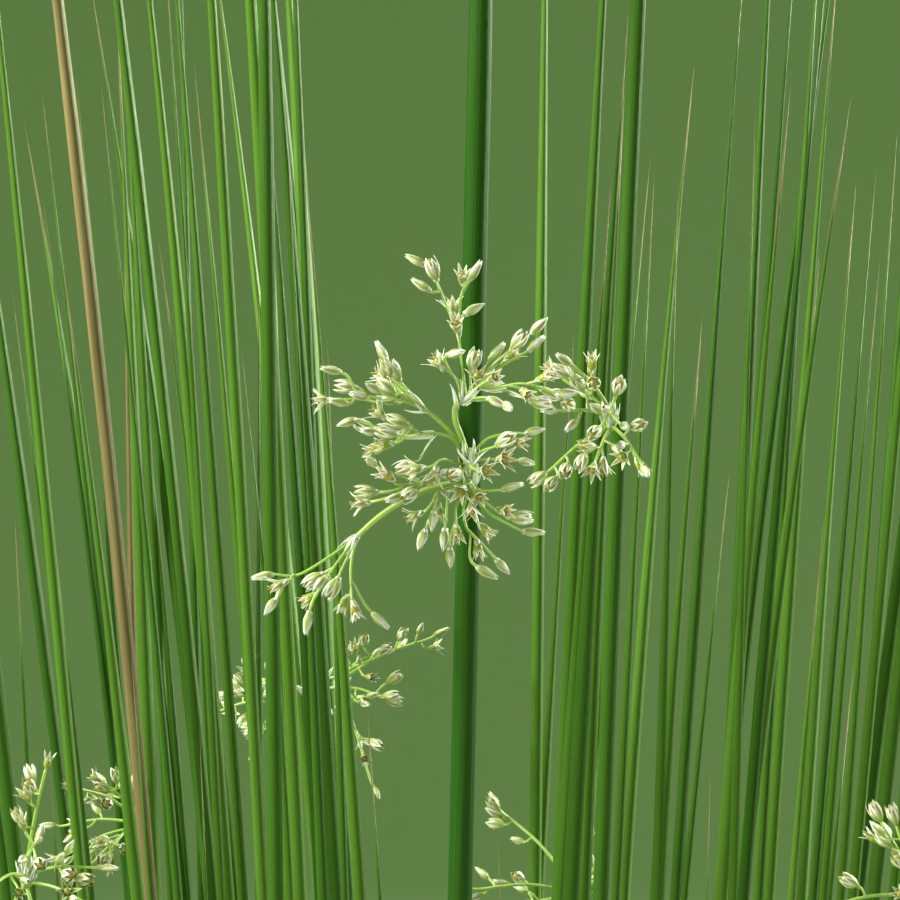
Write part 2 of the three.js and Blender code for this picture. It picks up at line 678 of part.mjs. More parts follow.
    flowers: [['fruit', -15.6, -3.8, -12, 214, 0], ['bud', -15.3, -6.2, -12.3, 227, 30],
      ['open', -16.3, -5.2, -14.1, 214, 0], ['bud', -17, -6.8, -16, 260, 0]],
    bracts: [],
  },
  {
    path: [[-11.9, -3.4, -7.9], [-13.2, -2.4, -10.6], [-14, -2, -12.3]],
    thickness: 0.6,
    flowers: [['fruit', -14, -2, -12.5, 240, 0]],
    bracts: [],
  },
  {
    path: [[-11.9, -3.4, -7.9], [-12.6, -4.8, -10.8], [-12.6, -5.4, -13.9]],
    thickness: 0.6,
    flowers: [['open', -13, -4.6, -14.3, 245, 0], ['open', -12.4, -6.8, -14.8, 285, 0],
      ['bud', -10.3, -5.2, -16.2, 317, 0]],
    bracts: [],
  },
  {
    path: [[-0.4, -2.5, -2.3], [-3.2, -4.2, -3.2], [-3.7, -4.8, -4.2]],
    thickness: 0.6,
    flowers: [['open', -3.2, -4.6, -4.4, 275, -15], ['bud', -3.7, -7.2, -5.2, 264, 0],
      ['open', -4.9, -5.2, -5.4, 205, 0], ['bud', -4.6, -5.8, -7.2, 250, 0],
      ['bud', -2.5, -3.4, -7.2, 264, 0]],
    bracts: [[[-3.1, -4.2, -3.1], [-1.9, -5.2, -4.3]]],
  },
  {
    path: [[-0.1, -2.6, -3], [-1.3, -4, -4.8], [-1.3, -4.8, -6.5]],
    thickness: 0.6,
    flowers: [['open', -1.3, -5.2, -6.8, 280, 30], ['bud', -2, -4.6, -9.2, 273, 0]],
    bracts: [],
  },
  {
    path: [[0.2, -2.5, -3.2], [-0.5, -3.2, -5], [-0.2, -3.6, -7.1], [0.7, -3.9, -8.1]],
    thickness: 0.6,
    flowers: [['open', 0.9, -4.6, -8.4, 280, 15], ['bud', 0.9, -2.9, -11.3, 331, 0],
      ['bud', 3, -3.2, -10.5, 312, 0]],
    bracts: [],
  },
  {
    path: [[0.5, -2.5, -3.2], [1.8, -3.4, -4.3], [3, -4, -5.2], [4, -4.4, -5.8]],
    thickness: 0.6,
    flowers: [['open', 3.1, -5, -5.1, 350, 50], ['fruit', 4.4, -4.4, -6, 0, 0]],
    bracts: [],
  },
  {
    path: [[0.4, -2.5, -3.4], [2.2, -2.9, -5.5], [5.7, -3.4, -7.4]],
    thickness: 0.6,
    flowers: [['bud', 5.9, -3.4, -7.5, 357, 0]],
    bracts: [],
  },
  {
    path: [[0.3, -2.6, -3.3], [0.6, -3.8, -4.8], [1, -4.6, -6.4]],
    thickness: 0.6,
    flowers: [['open', 0.3, -5.8, -4.2, 272, 20], ['open', 1.1, -4.8, -6.6, 318, 0]],
    bracts: [],
  },
  {
    path: [[0.5, -2.5, -2.6], [1.6, -3.2, -3.1], [3.4, -4, -3]],
    thickness: 0.6,
    flowers: [['bud', 3.6, -4, -3, 16, 0]],
    bracts: [],
  },
  {
    path: [[0.5, -2.4, 1], [2.2, -2.7, 2.6], [4.6, -3.3, 3.1], [5.9, -3.7, 3.1]],
    thickness: 0.6,
    flowers: [['bud', 6.1, -3.7, 3.1, 12, 0], ['open', 4.4, -4.6, 2.3, 352, 25]],
    bracts: [],
  },
  {
    path: [[0.5, -2.5, 0.4], [1.5, -3.8, 1.2], [2.9, -5, 1.7]],
    thickness: 0.6,
    flowers: [['fruit', 3, -5.2, 1.8, 30, 35]],
    bracts: [],
  },
  {
    path: [[0.5, -2.5, 0], [1.8, -3, 0.3], [3, -3.3, 0.3], [5.5, -3.4, 0.2]],
    thickness: 0.6,
    flowers: [['open', 3, -4.2, 0.3, 5, 40], ['bud', 5.6, -3.4, 0.2, 346, 50]],
    bracts: [],
  },
  {
    path: [[0.2, -2.8, -0.4], [0.2, -4.6, -0.4], [0.4, -5.4, -0.6]],
    thickness: 0.7,
    flowers: [['open', 1.1, -5.8, -0.9, 0, 45], ['fruit', -0.8, -5.4, -1.1, 200, 55],
      ['bud', -1.9, -4.8, -1.1, 190, 50]],
    bracts: [[[0.2, -3.4, -0.5], [-1.1, -5.2, 1.3]], [[0.2, -3.9, -0.5], [2.2, -4.8, 1.3]]],
  },
  {
    path: [[0.2, -2.8, -1.8], [0.2, -4.4, -2.2]],
    thickness: 0.6,
    flowers: [['open', -0.5, -5, -2.6, 240, 50], ['open', 0.8, -5, -3.1, 300, 60]],
    bracts: [],
  },
];

// The knot in which all rays of a spray start, a hair off the stem
function knotSolid(axis, outward, tall) {
  const shape = new THREE.SphereGeometry(1, KNOT.sides, KNOT.rings)
    .rotateX(Math.PI / 2)
    .scale(KNOT.across, KNOT.deep, tall)
    .rotateZ(Math.atan2(outward.y, outward.x) + Math.PI / 2);
  return solidOf(shape.translate(axis.x, axis.y, axis.z));
}

// The flower whose base is nearest to the end of its ray closes the ray; the others get stalks
function sortFlowers(points, flowers) {
  const away = (flower) => flower.base.distanceTo(points.at(-1));
  const [end, ...rest] = [...flowers].sort((a, b) => away(a) - away(b));
  const stalked = rest.map((flower, k) => ({ ...flower, start: stalkStart(flower.base, points, k) }));
  return { end, flowers: stalked };
}

const FIRST_SPRAY_SHIFT = point(-0.2, 0, 0);
const FIRST_KNOT = point(0, -2.55, -1);

function firstSpray(stem) {
  const centre = stemAt(stem, stem.z + stem.head);
  const placed = ([x, y, z]) => point(x, y, z).add(centre).add(FIRST_SPRAY_SHIFT);
  const rays = FIRST_SPRAY.map(({ path, thickness, flowers, bracts }) => {
    const points = path.map(placed);
    const plans = flowers.map(([kind, x, y, z, heading, front]) => {
      const flat = Math.cos(radians(front));
      const [cos, sin] = [Math.cos(radians(heading)), Math.sin(radians(heading))];
      const way = point(flat * cos, -Math.sin(radians(front)), flat * sin);
      return { kind, base: placed([x, y, z]), way };
    });
    const placedBracts = bracts.map((ends) => ends.map(placed));
    return { points, thickness, bracts: placedBracts, ...sortFlowers(points, plans) };
  });
  return { knot: centre.add(FIRST_KNOT), outward: point(0, -1, 0), tall: KNOT.tall, rays, detail: FINE };
}

// A spray by rule faces the widest gap between the stems round it, unless its stem sets the way
function widestGap(stem, centre, draw, standing) {
  const others = standing.filter((other) => other !== stem);
  const offset = draw(0, 0.5);
  const ways = Array.from({ length: SPRAY.directions }, (_, i) => {
    const turn = (i / SPRAY.directions) * 2 * Math.PI + offset;
    const way = point(Math.cos(turn), Math.sin(turn), 0);
    const ahead = centre.clone().addScaledVector(way, SPRAY.lookAhead);
    return { way, room: roomAt(ahead, others) + SPRAY.leanBias * Math.cos(turn - stem.azimuth) };
  });
  return ways.reduce((best, next) => (next.room > best.room ? next : best)).way;
}

// The rays fan out round the way that the spray faces, each with one flower at its end. A ray that would
// touch a stem is left out.
function rayByRule(i, knot, outward, size, draw, standing) {
  const turn = ((i + draw(0, SPRAY.wander)) / SPRAY.rays) * 2 * Math.PI;
  const spread = radians(draw(...SPRAY.spread));
  const reach = draw(...SPRAY.reach) * size;
  const aside = UP.clone().cross(outward).applyAxisAngle(outward, turn);
  const way = outward.clone().multiplyScalar(Math.cos(spread)).addScaledVector(aside, Math.sin(spread));
  const start = knot.clone().addScaledVector(UP, SPRAY.startRise * SPRAY.tall * Math.sin(turn));
  const end = start.clone().addScaledVector(way, reach);
  const middle = start.clone().lerp(end, 0.5).addScaledVector(UP, SPRAY.rayArch * reach);
  const splay = aside.clone().applyAxisAngle(way, draw(0, 2 * Math.PI));
  const flowerWay = way.clone().addScaledVector(splay, SPRAY.splay).normalize();
  const base = end.clone().addScaledVector(flowerWay, draw(...SPRAY.stalkLength));
  const tip = base.clone().addScaledVector(flowerWay, OPEN.tepalLength);
  const kind = KINDS[Math.floor(draw(0, KINDS.length))];
  const flowerRoom = Math.min(roomAt(base, standing), roomAt(tip, standing));
  const rayRooms = RAY_ROOM_SHARES.map((share) => roomAt(start.clone().lerp(end, share), standing));
  if (flowerRoom < SPRAY.flowerRoom || Math.min(...rayRooms) < SPRAY.rayRoom) return [];
  return [{
    points: [start, middle, end],
    thickness: SPRAY.rayThickness,
    end: { kind, base, way: flowerWay },
    flowers: [],
    bracts: [],
  }];
}

function sprayByRule(stem, draw, standing) {
  const centre = stemAt(stem, stem.z + stem.head);
  const { facing, sprayShare = 1 } = stem;
  const gap = widestGap(stem, centre, draw, standing);
  const outward = facing === undefined ? gap : point(Math.cos(facing), Math.sin(facing), 0);
  const slope = Math.abs(stemAt(stem, centre.z + 1).sub(centre).dot(outward));
  const off = stemRadius(stem, stem.head / stem.height) + FIT_GAP + KNOT.deep + slope * SPRAY.tall;
  const knot = centre.clone().addScaledVector(outward, off);
  const places = Array.from({ length: SPRAY.rays }, (_, i) => i);
  const rays = places.flatMap((i) => rayByRule(i, knot, outward, sprayShare, draw, standing));
  return { knot, outward, tall: SPRAY.tall, rays, detail: PLAIN };
}

const spraySolid = ({ knot, outward, tall, rays, detail }) => joined([
  knotSolid(knot, outward, tall),
  ...rays.flatMap((ray) => raySolids(ray, detail)),
]);

// Assembly

function meshOf(name, solid, look) {
  const { vertProperties, triVerts } = solid.getMesh();
  const geometry = new THREE.BufferGeometry();
  geometry.setAttribute('position', new THREE.BufferAttribute(vertProperties, 3));
  geometry.setIndex(new THREE.BufferAttribute(triVerts, 1));
  geometry.computeVertexNormals();
  const mesh = new THREE.Mesh(geometry, new THREE.MeshStandardMaterial(look));
  mesh.name = name;
  return mesh;
}

const numbered = (word, i) => `${word}_${String(i + 1).padStart(2, '0')}`;

const { flowering, tufts, standing } = growClump();
const sprayDraw = drawsFrom(SEED + 1);
const [first, ...others] = flowering;
const sprays = [firstSpray(first), ...others.map((stem) => sprayByRule(stem, sprayDraw, standing))];
const holes = [...tufts.map(rhizomeHole), ...flowering.map(stemHole)];

const group = new THREE.Group();
group.add(meshOf('pot', potSolid(), COLOURS.pot));
group.add(meshOf('soil', soilSolid(holes), COLOURS.soil));
tufts.forEach((tuft, i) => group.add(meshOf(numbered('tuft', i), tuftSolid(tuft), COLOURS.stem)));
flowering.forEach((stem, i) => {
  group.add(meshOf(numbered('flowering_stem', i), stemSolid(stem), COLOURS.stem));
  group.add(meshOf(numbered('flower_head', i), spraySolid(sprays[i]), COLOURS.flower));
});

export default group;
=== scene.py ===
# Potted soft rush: the looks of its pot, soil, rhizomes, stems and side sprays of flowers.
# The plant's own sizes are millimetres, as on its solids, and MM turns them into metres.

import math
from dataclasses import dataclass

import bmesh
import bpy
import numpy
from mathutils import Matrix, Quaternion, Vector, noise
from mathutils.geometry import interpolate_bezier


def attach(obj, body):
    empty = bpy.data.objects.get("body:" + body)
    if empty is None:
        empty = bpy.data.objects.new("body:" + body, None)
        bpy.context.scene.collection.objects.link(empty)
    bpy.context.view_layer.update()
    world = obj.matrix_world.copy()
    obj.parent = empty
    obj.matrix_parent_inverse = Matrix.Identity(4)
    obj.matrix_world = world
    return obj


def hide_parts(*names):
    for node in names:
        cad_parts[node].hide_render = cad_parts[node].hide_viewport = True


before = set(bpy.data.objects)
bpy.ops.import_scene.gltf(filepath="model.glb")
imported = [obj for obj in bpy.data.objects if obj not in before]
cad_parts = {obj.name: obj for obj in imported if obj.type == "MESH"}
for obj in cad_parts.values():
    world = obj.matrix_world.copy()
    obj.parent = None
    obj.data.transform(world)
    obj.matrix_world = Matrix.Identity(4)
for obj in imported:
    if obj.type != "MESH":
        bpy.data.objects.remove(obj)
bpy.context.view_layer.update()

MM = 0.001
UP = Vector((0, 0, 1))
FULL_TURN = 2 * math.pi
ALMOST = 0.999


# Sizes of the pot, soil and clump in millimetres, as on the solids

POT_HEIGHT = 150
POT_BASE_RADIUS = 60
POT_TOP_RADIUS = 80
POT_WALL = 7
POT_FLOOR = 10
RIM_HEIGHT = 28
RIM_OVERHANG = 6

SOIL_BELOW_RIM = 20
SOIL_DOME = 5
FIT_GAP = 0.3

CLUMP_RADIUS = 56
CLUMP_PLACES = 31
GOLDEN_TURN = 137.5
FLOWERING_EVERY = 3
FRONT_CLEARANCE = 13
STEM_CLEARANCE = 1.2
CLEARANCE_STEP = 8
PLANTING_DEPTH = 22
SEED, SPRAY_SEED, SLENDER_SEED = 20, 21, 23

RHIZOME = Vector((8, 3.8, 3.6))
STEMS_PER_TUFT = 4
STEM_SPACING = 3.9
STEM_SCATTER = 1
STEM_ROOT = 1
TUFT_TWIST = 0.5

TALLEST_STEM = 520
FRONT_SECTOR_ANGLE = 42
FRONT_SECTOR_RADIUS = 24
FRONT_SECTOR_HEIGHTS = (210, 270)
GROWTH_TRIES = 60
TWIST = 0.5
LEAN = (0, 0.05)
LEAN_OUTSIDE = 0.1
ARCH = 0.01
ARCH_OUTSIDE = 0.1
SWAY = 0.03
SHORTER = (0, 130)
SHORTER_OUTSIDE = 40
THICKNESS = (0.8, 1.05)
SHEATH = (45, 80)
THICK_FOOT, TAPER = 1.02, 0.12
POINT_STEEPNESS, POINT_END = 4.5, 1.003
BARREN_RADIUS = 1
FLOWERING_RADIUS = 1.2
SHEATH_THICKNESS = 0.4
SLENDER_PER_TUFT = 3
SLENDER_RADIUS = 0.78
SLENDER_ARCH = 0.3
SLENDER_HEIGHT = (0.72, 1)
SLENDER_SPACING = 4.2
SLENDER_ACROSS = 2
SLENDER_CLEARANCE = 0.4
HEAD_SHARES = (0.66, 0.76)

BUD_LENGTH, BUD_RADIUS = 2.4, 0.56
FRUIT_LENGTH, FRUIT_RADIUS = 2.7, 0.82
TEPAL_LENGTH, TEPAL_SPREAD = 2.7, 40
STALK_STEP, STALK_SEARCH = 0.6, 0.2
KNOT_ACROSS, KNOT_DEEP, KNOT_TALL = 0.95, 0.85, 3

SPRAY_RAYS = 7
SPRAY_REACH = (5, 14)
SPRAY_SPREAD = (22, 72)
SPRAY_WANDER = 0.8
RAY_ARCH = 0.06
THINNEST_RAY = 0.6
RAY_THICKNESS = 0.65
STALK_LENGTH = (0.6, 1.8)
SPLAY = 0.3
SPRAY_TALL = 1.8
START_RISE = 0.6
FLOWER_ROOM = 1.1
RAY_ROOM = 0.9
DIRECTIONS = 12
FIRST_LOOK = (0, 0.5)
LOOK_AHEAD = 9
LEAN_BIAS = 3
RAY_ROOM_SHARES = (0.2, 0.4, 0.7, 1)
KINDS = ("bud", "fruit", "bud", "open", "fruit", "fruit")


DRAW_FACTOR, DRAW_STEP, DRAW_RANGE = 1664525, 1013904223, 2**32


class Draws:
    """A seeded row of draws, each between its two limits, the same as the solids'"""

    def __init__(self, seed):
        self.state = seed

    def __call__(self, low=0.0, high=1.0):
        self.state = (self.state * DRAW_FACTOR + DRAW_STEP) % DRAW_RANGE
        return low + (high - low) * (self.state / DRAW_RANGE)


def outer_radius(z):
    return POT_BASE_RADIUS + (POT_TOP_RADIUS - POT_BASE_RADIUS) * z / POT_HEIGHT


def inner_radius(z):
    return outer_radius(z) - POT_WALL


SOIL_EDGE = POT_HEIGHT - SOIL_BELOW_RIM
SOIL_RADIUS = inner_radius(SOIL_EDGE) - FIT_GAP


def soil_height(radius):
    return SOIL_EDGE + SOIL_DOME * (1 - (radius / SOIL_RADIUS) ** 2)


def polar(radius, turn):
    return radius * math.cos(turn), radius * math.sin(turn)


def level(turn):
    """The level way that points to that turn"""
    return Vector((*polar(1, turn), 0))


# Stems: the same plans and draws as the solids'

CLEAR_FROM = SOIL_EDGE + SOIL_DOME + RHIZOME.z


@dataclass
class Stem:
    x: float
    y: float
    z: float
    azimuth: float
    lean: float
    arch: float
    sway: float
    height: float
    radius: float
    sheath: float
    head: float = None
    facing: float = None
    spray_share: float = 1

    def place(self, z):
        rise = (z - self.z) / self.height
        out = self.height * (self.lean * rise + self.arch * rise * rise * rise)
        aside = self.height * self.sway * rise * rise
        cos, sin = math.cos(self.azimuth), math.sin(self.azimuth)
        return self.x + out * cos - aside * sin, self.y + out * sin + aside * cos

    def at(self, z):
        return Vector((*self.place(z), z))

    @property
    def top(self):
        return self.z + self.height

    def thickness(self, rise):
        return self.radius * min(THICK_FOOT - TAPER * rise, POINT_STEEPNESS * (POINT_END - rise))

    def track(self):
        """Where the stem is at each height at which clearances are looked at"""
        if not hasattr(self, "_track"):
            heights = numpy.arange(CLEAR_FROM, self.top, CLEARANCE_STEP)
            self._track = numpy.array([self.place(z) for z in heights]).reshape(-1, 2)
        return self._track


def stems_clear(a, b, clearance):
    first, second = a.track(), b.track()
    both = min(len(first), len(second))
    apart = numpy.hypot(*(first[:both] - second[:both]).T)
    return both == 0 or apart.min() >= a.radius + b.radius + clearance


def room_at(place, stems):
    """How far a place is from the nearest of those stems"""
    rooms = [math.dist(place.xy, stem.place(place.z)) - stem.radius for stem in stems if place.z < stem.top]
    return min(rooms, default=math.inf)


def front_stem(x, y, height, azimuth, lean, arch, radius, sheath, head, *hang):
    foot = soil_height(math.hypot(x, y)) - PLANTING_DEPTH
    return Stem(x, y, foot, math.radians(azimuth), lean, arch, 0, height, radius, sheath, head, *hang)


# Each row is a place, a height, azimuth, lean, arch, radius, sheath and height of the spray, and where they
# are set, the way that the spray hangs and its share of the usual size.
FRONT_STEMS = [
    front_stem(-8, -46, 527, -76, 0.0875, 0.005, 1.42, 84, 377),
    front_stem(6, -36, 540, -57.4, 0.048, 0.017, 0.95, 72, 381, math.radians(-125), 0.75),
    front_stem(-19, -38, 515, -103, 0.041, 0.004, 0.95, 78, 446),
]
FIRST_HEAD = FRONT_STEMS[0].at(FRONT_STEMS[0].z + FRONT_STEMS[0].head)
SPRAY_ROOM = Vector((23, 14, 25))
FRONT_HALF_WIDTH, FRONT_HALF_HEIGHT, FRONT_BACK, FRONT_STEP = 48, 60, 4, 6
GAP_BEHIND = 9


def enters_spray_room(stem):
    """Whether a stem would stand in the first spray, before it or close behind it"""
    top = min(stem.top, FIRST_HEAD.z + FRONT_HALF_HEIGHT)
    z = FIRST_HEAD.z - FRONT_HALF_HEIGHT
    while z < top:
        x, y, above = stem.at(z) - FIRST_HEAD
        if abs(x) < (FRONT_HALF_WIDTH if y < FRONT_BACK else GAP_BEHIND):
            return True
        if math.hypot(x / SPRAY_ROOM.x, y / SPRAY_ROOM.y, above / SPRAY_ROOM.z) < 1:
            return True
        z += FRONT_STEP
    return False


def draw_stem(x, y, z, draw, full_radius):
    radius = math.hypot(x, y)
    outward = math.atan2(y, x)
    share = radius / CLUMP_RADIUS
    off_front = abs(outward + math.pi / 2)
    frontal = off_front < math.radians(FRONT_SECTOR_ANGLE) and radius > FRONT_SECTOR_RADIUS
    azimuth = outward + draw(-TWIST, TWIST)
    lean = LEAN_OUTSIDE * share + draw(*LEAN)
    arch = ARCH + ARCH_OUTSIDE * share * draw()
    sway = draw(-SWAY, SWAY)
    if frontal:
        height = draw(*FRONT_SECTOR_HEIGHTS)
    else:
        height = TALLEST_STEM - SHORTER_OUTSIDE * share - draw(*SHORTER)
    thick = full_radius * draw(*THICKNESS)
    return Stem(x, y, z, azimuth, lean, arch, sway, height, thick, draw(*SHEATH))


def stands_clear(stem, clearance, standing):
    return not enters_spray_room(stem) and all(stems_clear(stem, other, clearance) for other in standing)


def grow_stem(draw_one, clearance, standing):
    for _ in range(GROWTH_TRIES):
        stem = draw_one()
        if stands_clear(stem, clearance, standing):
            break
    return stem


@dataclass
class Tuft:
    x: float
    y: float
    ground: float
    turn: float
    stems: list
    slender: list

    def place(self, along, across):
        """A place on the rhizome, a little under its upper side"""
        cos, sin = math.cos(self.turn), math.sin(self.turn)
        x = self.x + along * cos - across * sin
        y = self.y + along * sin + across * cos
        return x, y, self.ground - STEM_ROOT


def grow_tuft(x, y, turn, draw, standing):
    ground = soil_height(math.hypot(x, y))
    tuft = Tuft(x, y, ground, turn + draw(-TUFT_TWIST, TUFT_TWIST), [], [])
    for k in range(STEMS_PER_TUFT):
        along = (k - (STEMS_PER_TUFT - 1) / 2) * STEM_SPACING
        place = tuft.place(along, draw(-STEM_SCATTER, STEM_SCATTER))
        stem = grow_stem(lambda: draw_stem(*place, draw, BARREN_RADIUS), STEM_CLEARANCE, standing)
        tuft.stems.append(stem)
    return tuft


def draw_slender(place, draw):
    stem = draw_stem(*place, draw, SLENDER_RADIUS)
    stem.arch *= SLENDER_ARCH
    stem.height *= draw(*SLENDER_HEIGHT)
    return stem


def grow_slender(tuft, k, draw, standing):
    along = (k - (SLENDER_PER_TUFT - 1) / 2) * SLENDER_SPACING
    place = tuft.place(along, SLENDER_ACROSS * (-1) ** k)
    return grow_stem(lambda: draw_slender(place, draw), SLENDER_CLEARANCE, standing)


def grow_clump():
    draw = Draws(SEED)
    flowering, tufts, standing = list(FRONT_STEMS), [], list(FRONT_STEMS)
    for i in range(CLUMP_PLACES):
        radius = CLUMP_RADIUS * math.sqrt((i + 0.5) / CLUMP_PLACES)
        turn = math.radians(GOLDEN_TURN * i)
        x, y = polar(radius, turn)
        if any(math.hypot(stem.x - x, stem.y - y) < FRONT_CLEARANCE for stem in FRONT_STEMS):
            continue
        if i % FLOWERING_EVERY == 0:
            foot = soil_height(radius) - PLANTING_DEPTH
            stem = grow_stem(lambda: draw_stem(x, y, foot, draw, FLOWERING_RADIUS), STEM_CLEARANCE, standing)
            stem.head = stem.height * draw(*HEAD_SHARES)
            flowering.append(stem)
            standing.append(stem)
        else:
            tuft = grow_tuft(x, y, turn, draw, standing)
            tufts.append(tuft)
            standing.extend(tuft.stems)
    slender_draw = Draws(SLENDER_SEED)
    for tuft in tufts:
        for k in range(SLENDER_PER_TUFT):
            tuft.slender.append(grow_slender(tuft, k, slender_draw, standing))
            standing.append(tuft.slender[-1])
    return flowering, tufts, standing


# Sprays: the same plans as the solids'

@dataclass
class Flower:
    kind: str
    base: Vector
    way: Vector
    start: Vector = None


@dataclass
class Ray:
    points: list
    thickness: float
    end: Flower
    flowers: list
    bracts: list


@dataclass
class Spray:
    knot: Vector
    outward: Vector
    tall: float
    rays: list


def place_along(points, far):
    left = max(far, 0)
    for before, after in zip(points, points[1:]):
        length = (after - before).length
        if left <= length:
            return before.lerp(after, left / length)
        left -= length
    return points[-1].copy()


def length_of(points):
    return sum((after - before).length for before, after in zip(points, points[1:]))


def stalk_start(base, points, rank):
    """Where a flower's stalk leaves its ray: a little short of the place nearest to the flower"""
    steps = [STALK_SEARCH * k for k in range(int(length_of(points) / STALK_SEARCH) + 1)]
    best = min(steps, key=lambda far: (place_along(points, far) - base).length)
    return place_along(points, best - STALK_STEP * (rank + 1))


def sort_flowers(points, flowers):
    """The flower that ends the ray, and the others, each with the start of its stalk"""
    end, *rest = sorted(flowers, key=lambda flower: (flower.base - points[-1]).length) or [None]
    for rank, flower in enumerate(rest):
        flower.start = stalk_start(flower.base, points, rank)
    return end, rest


@dataclass
class Plan:
    path: list
    flowers: list = ()
    bracts: list = ()
    thickness: float = THINNEST_RAY


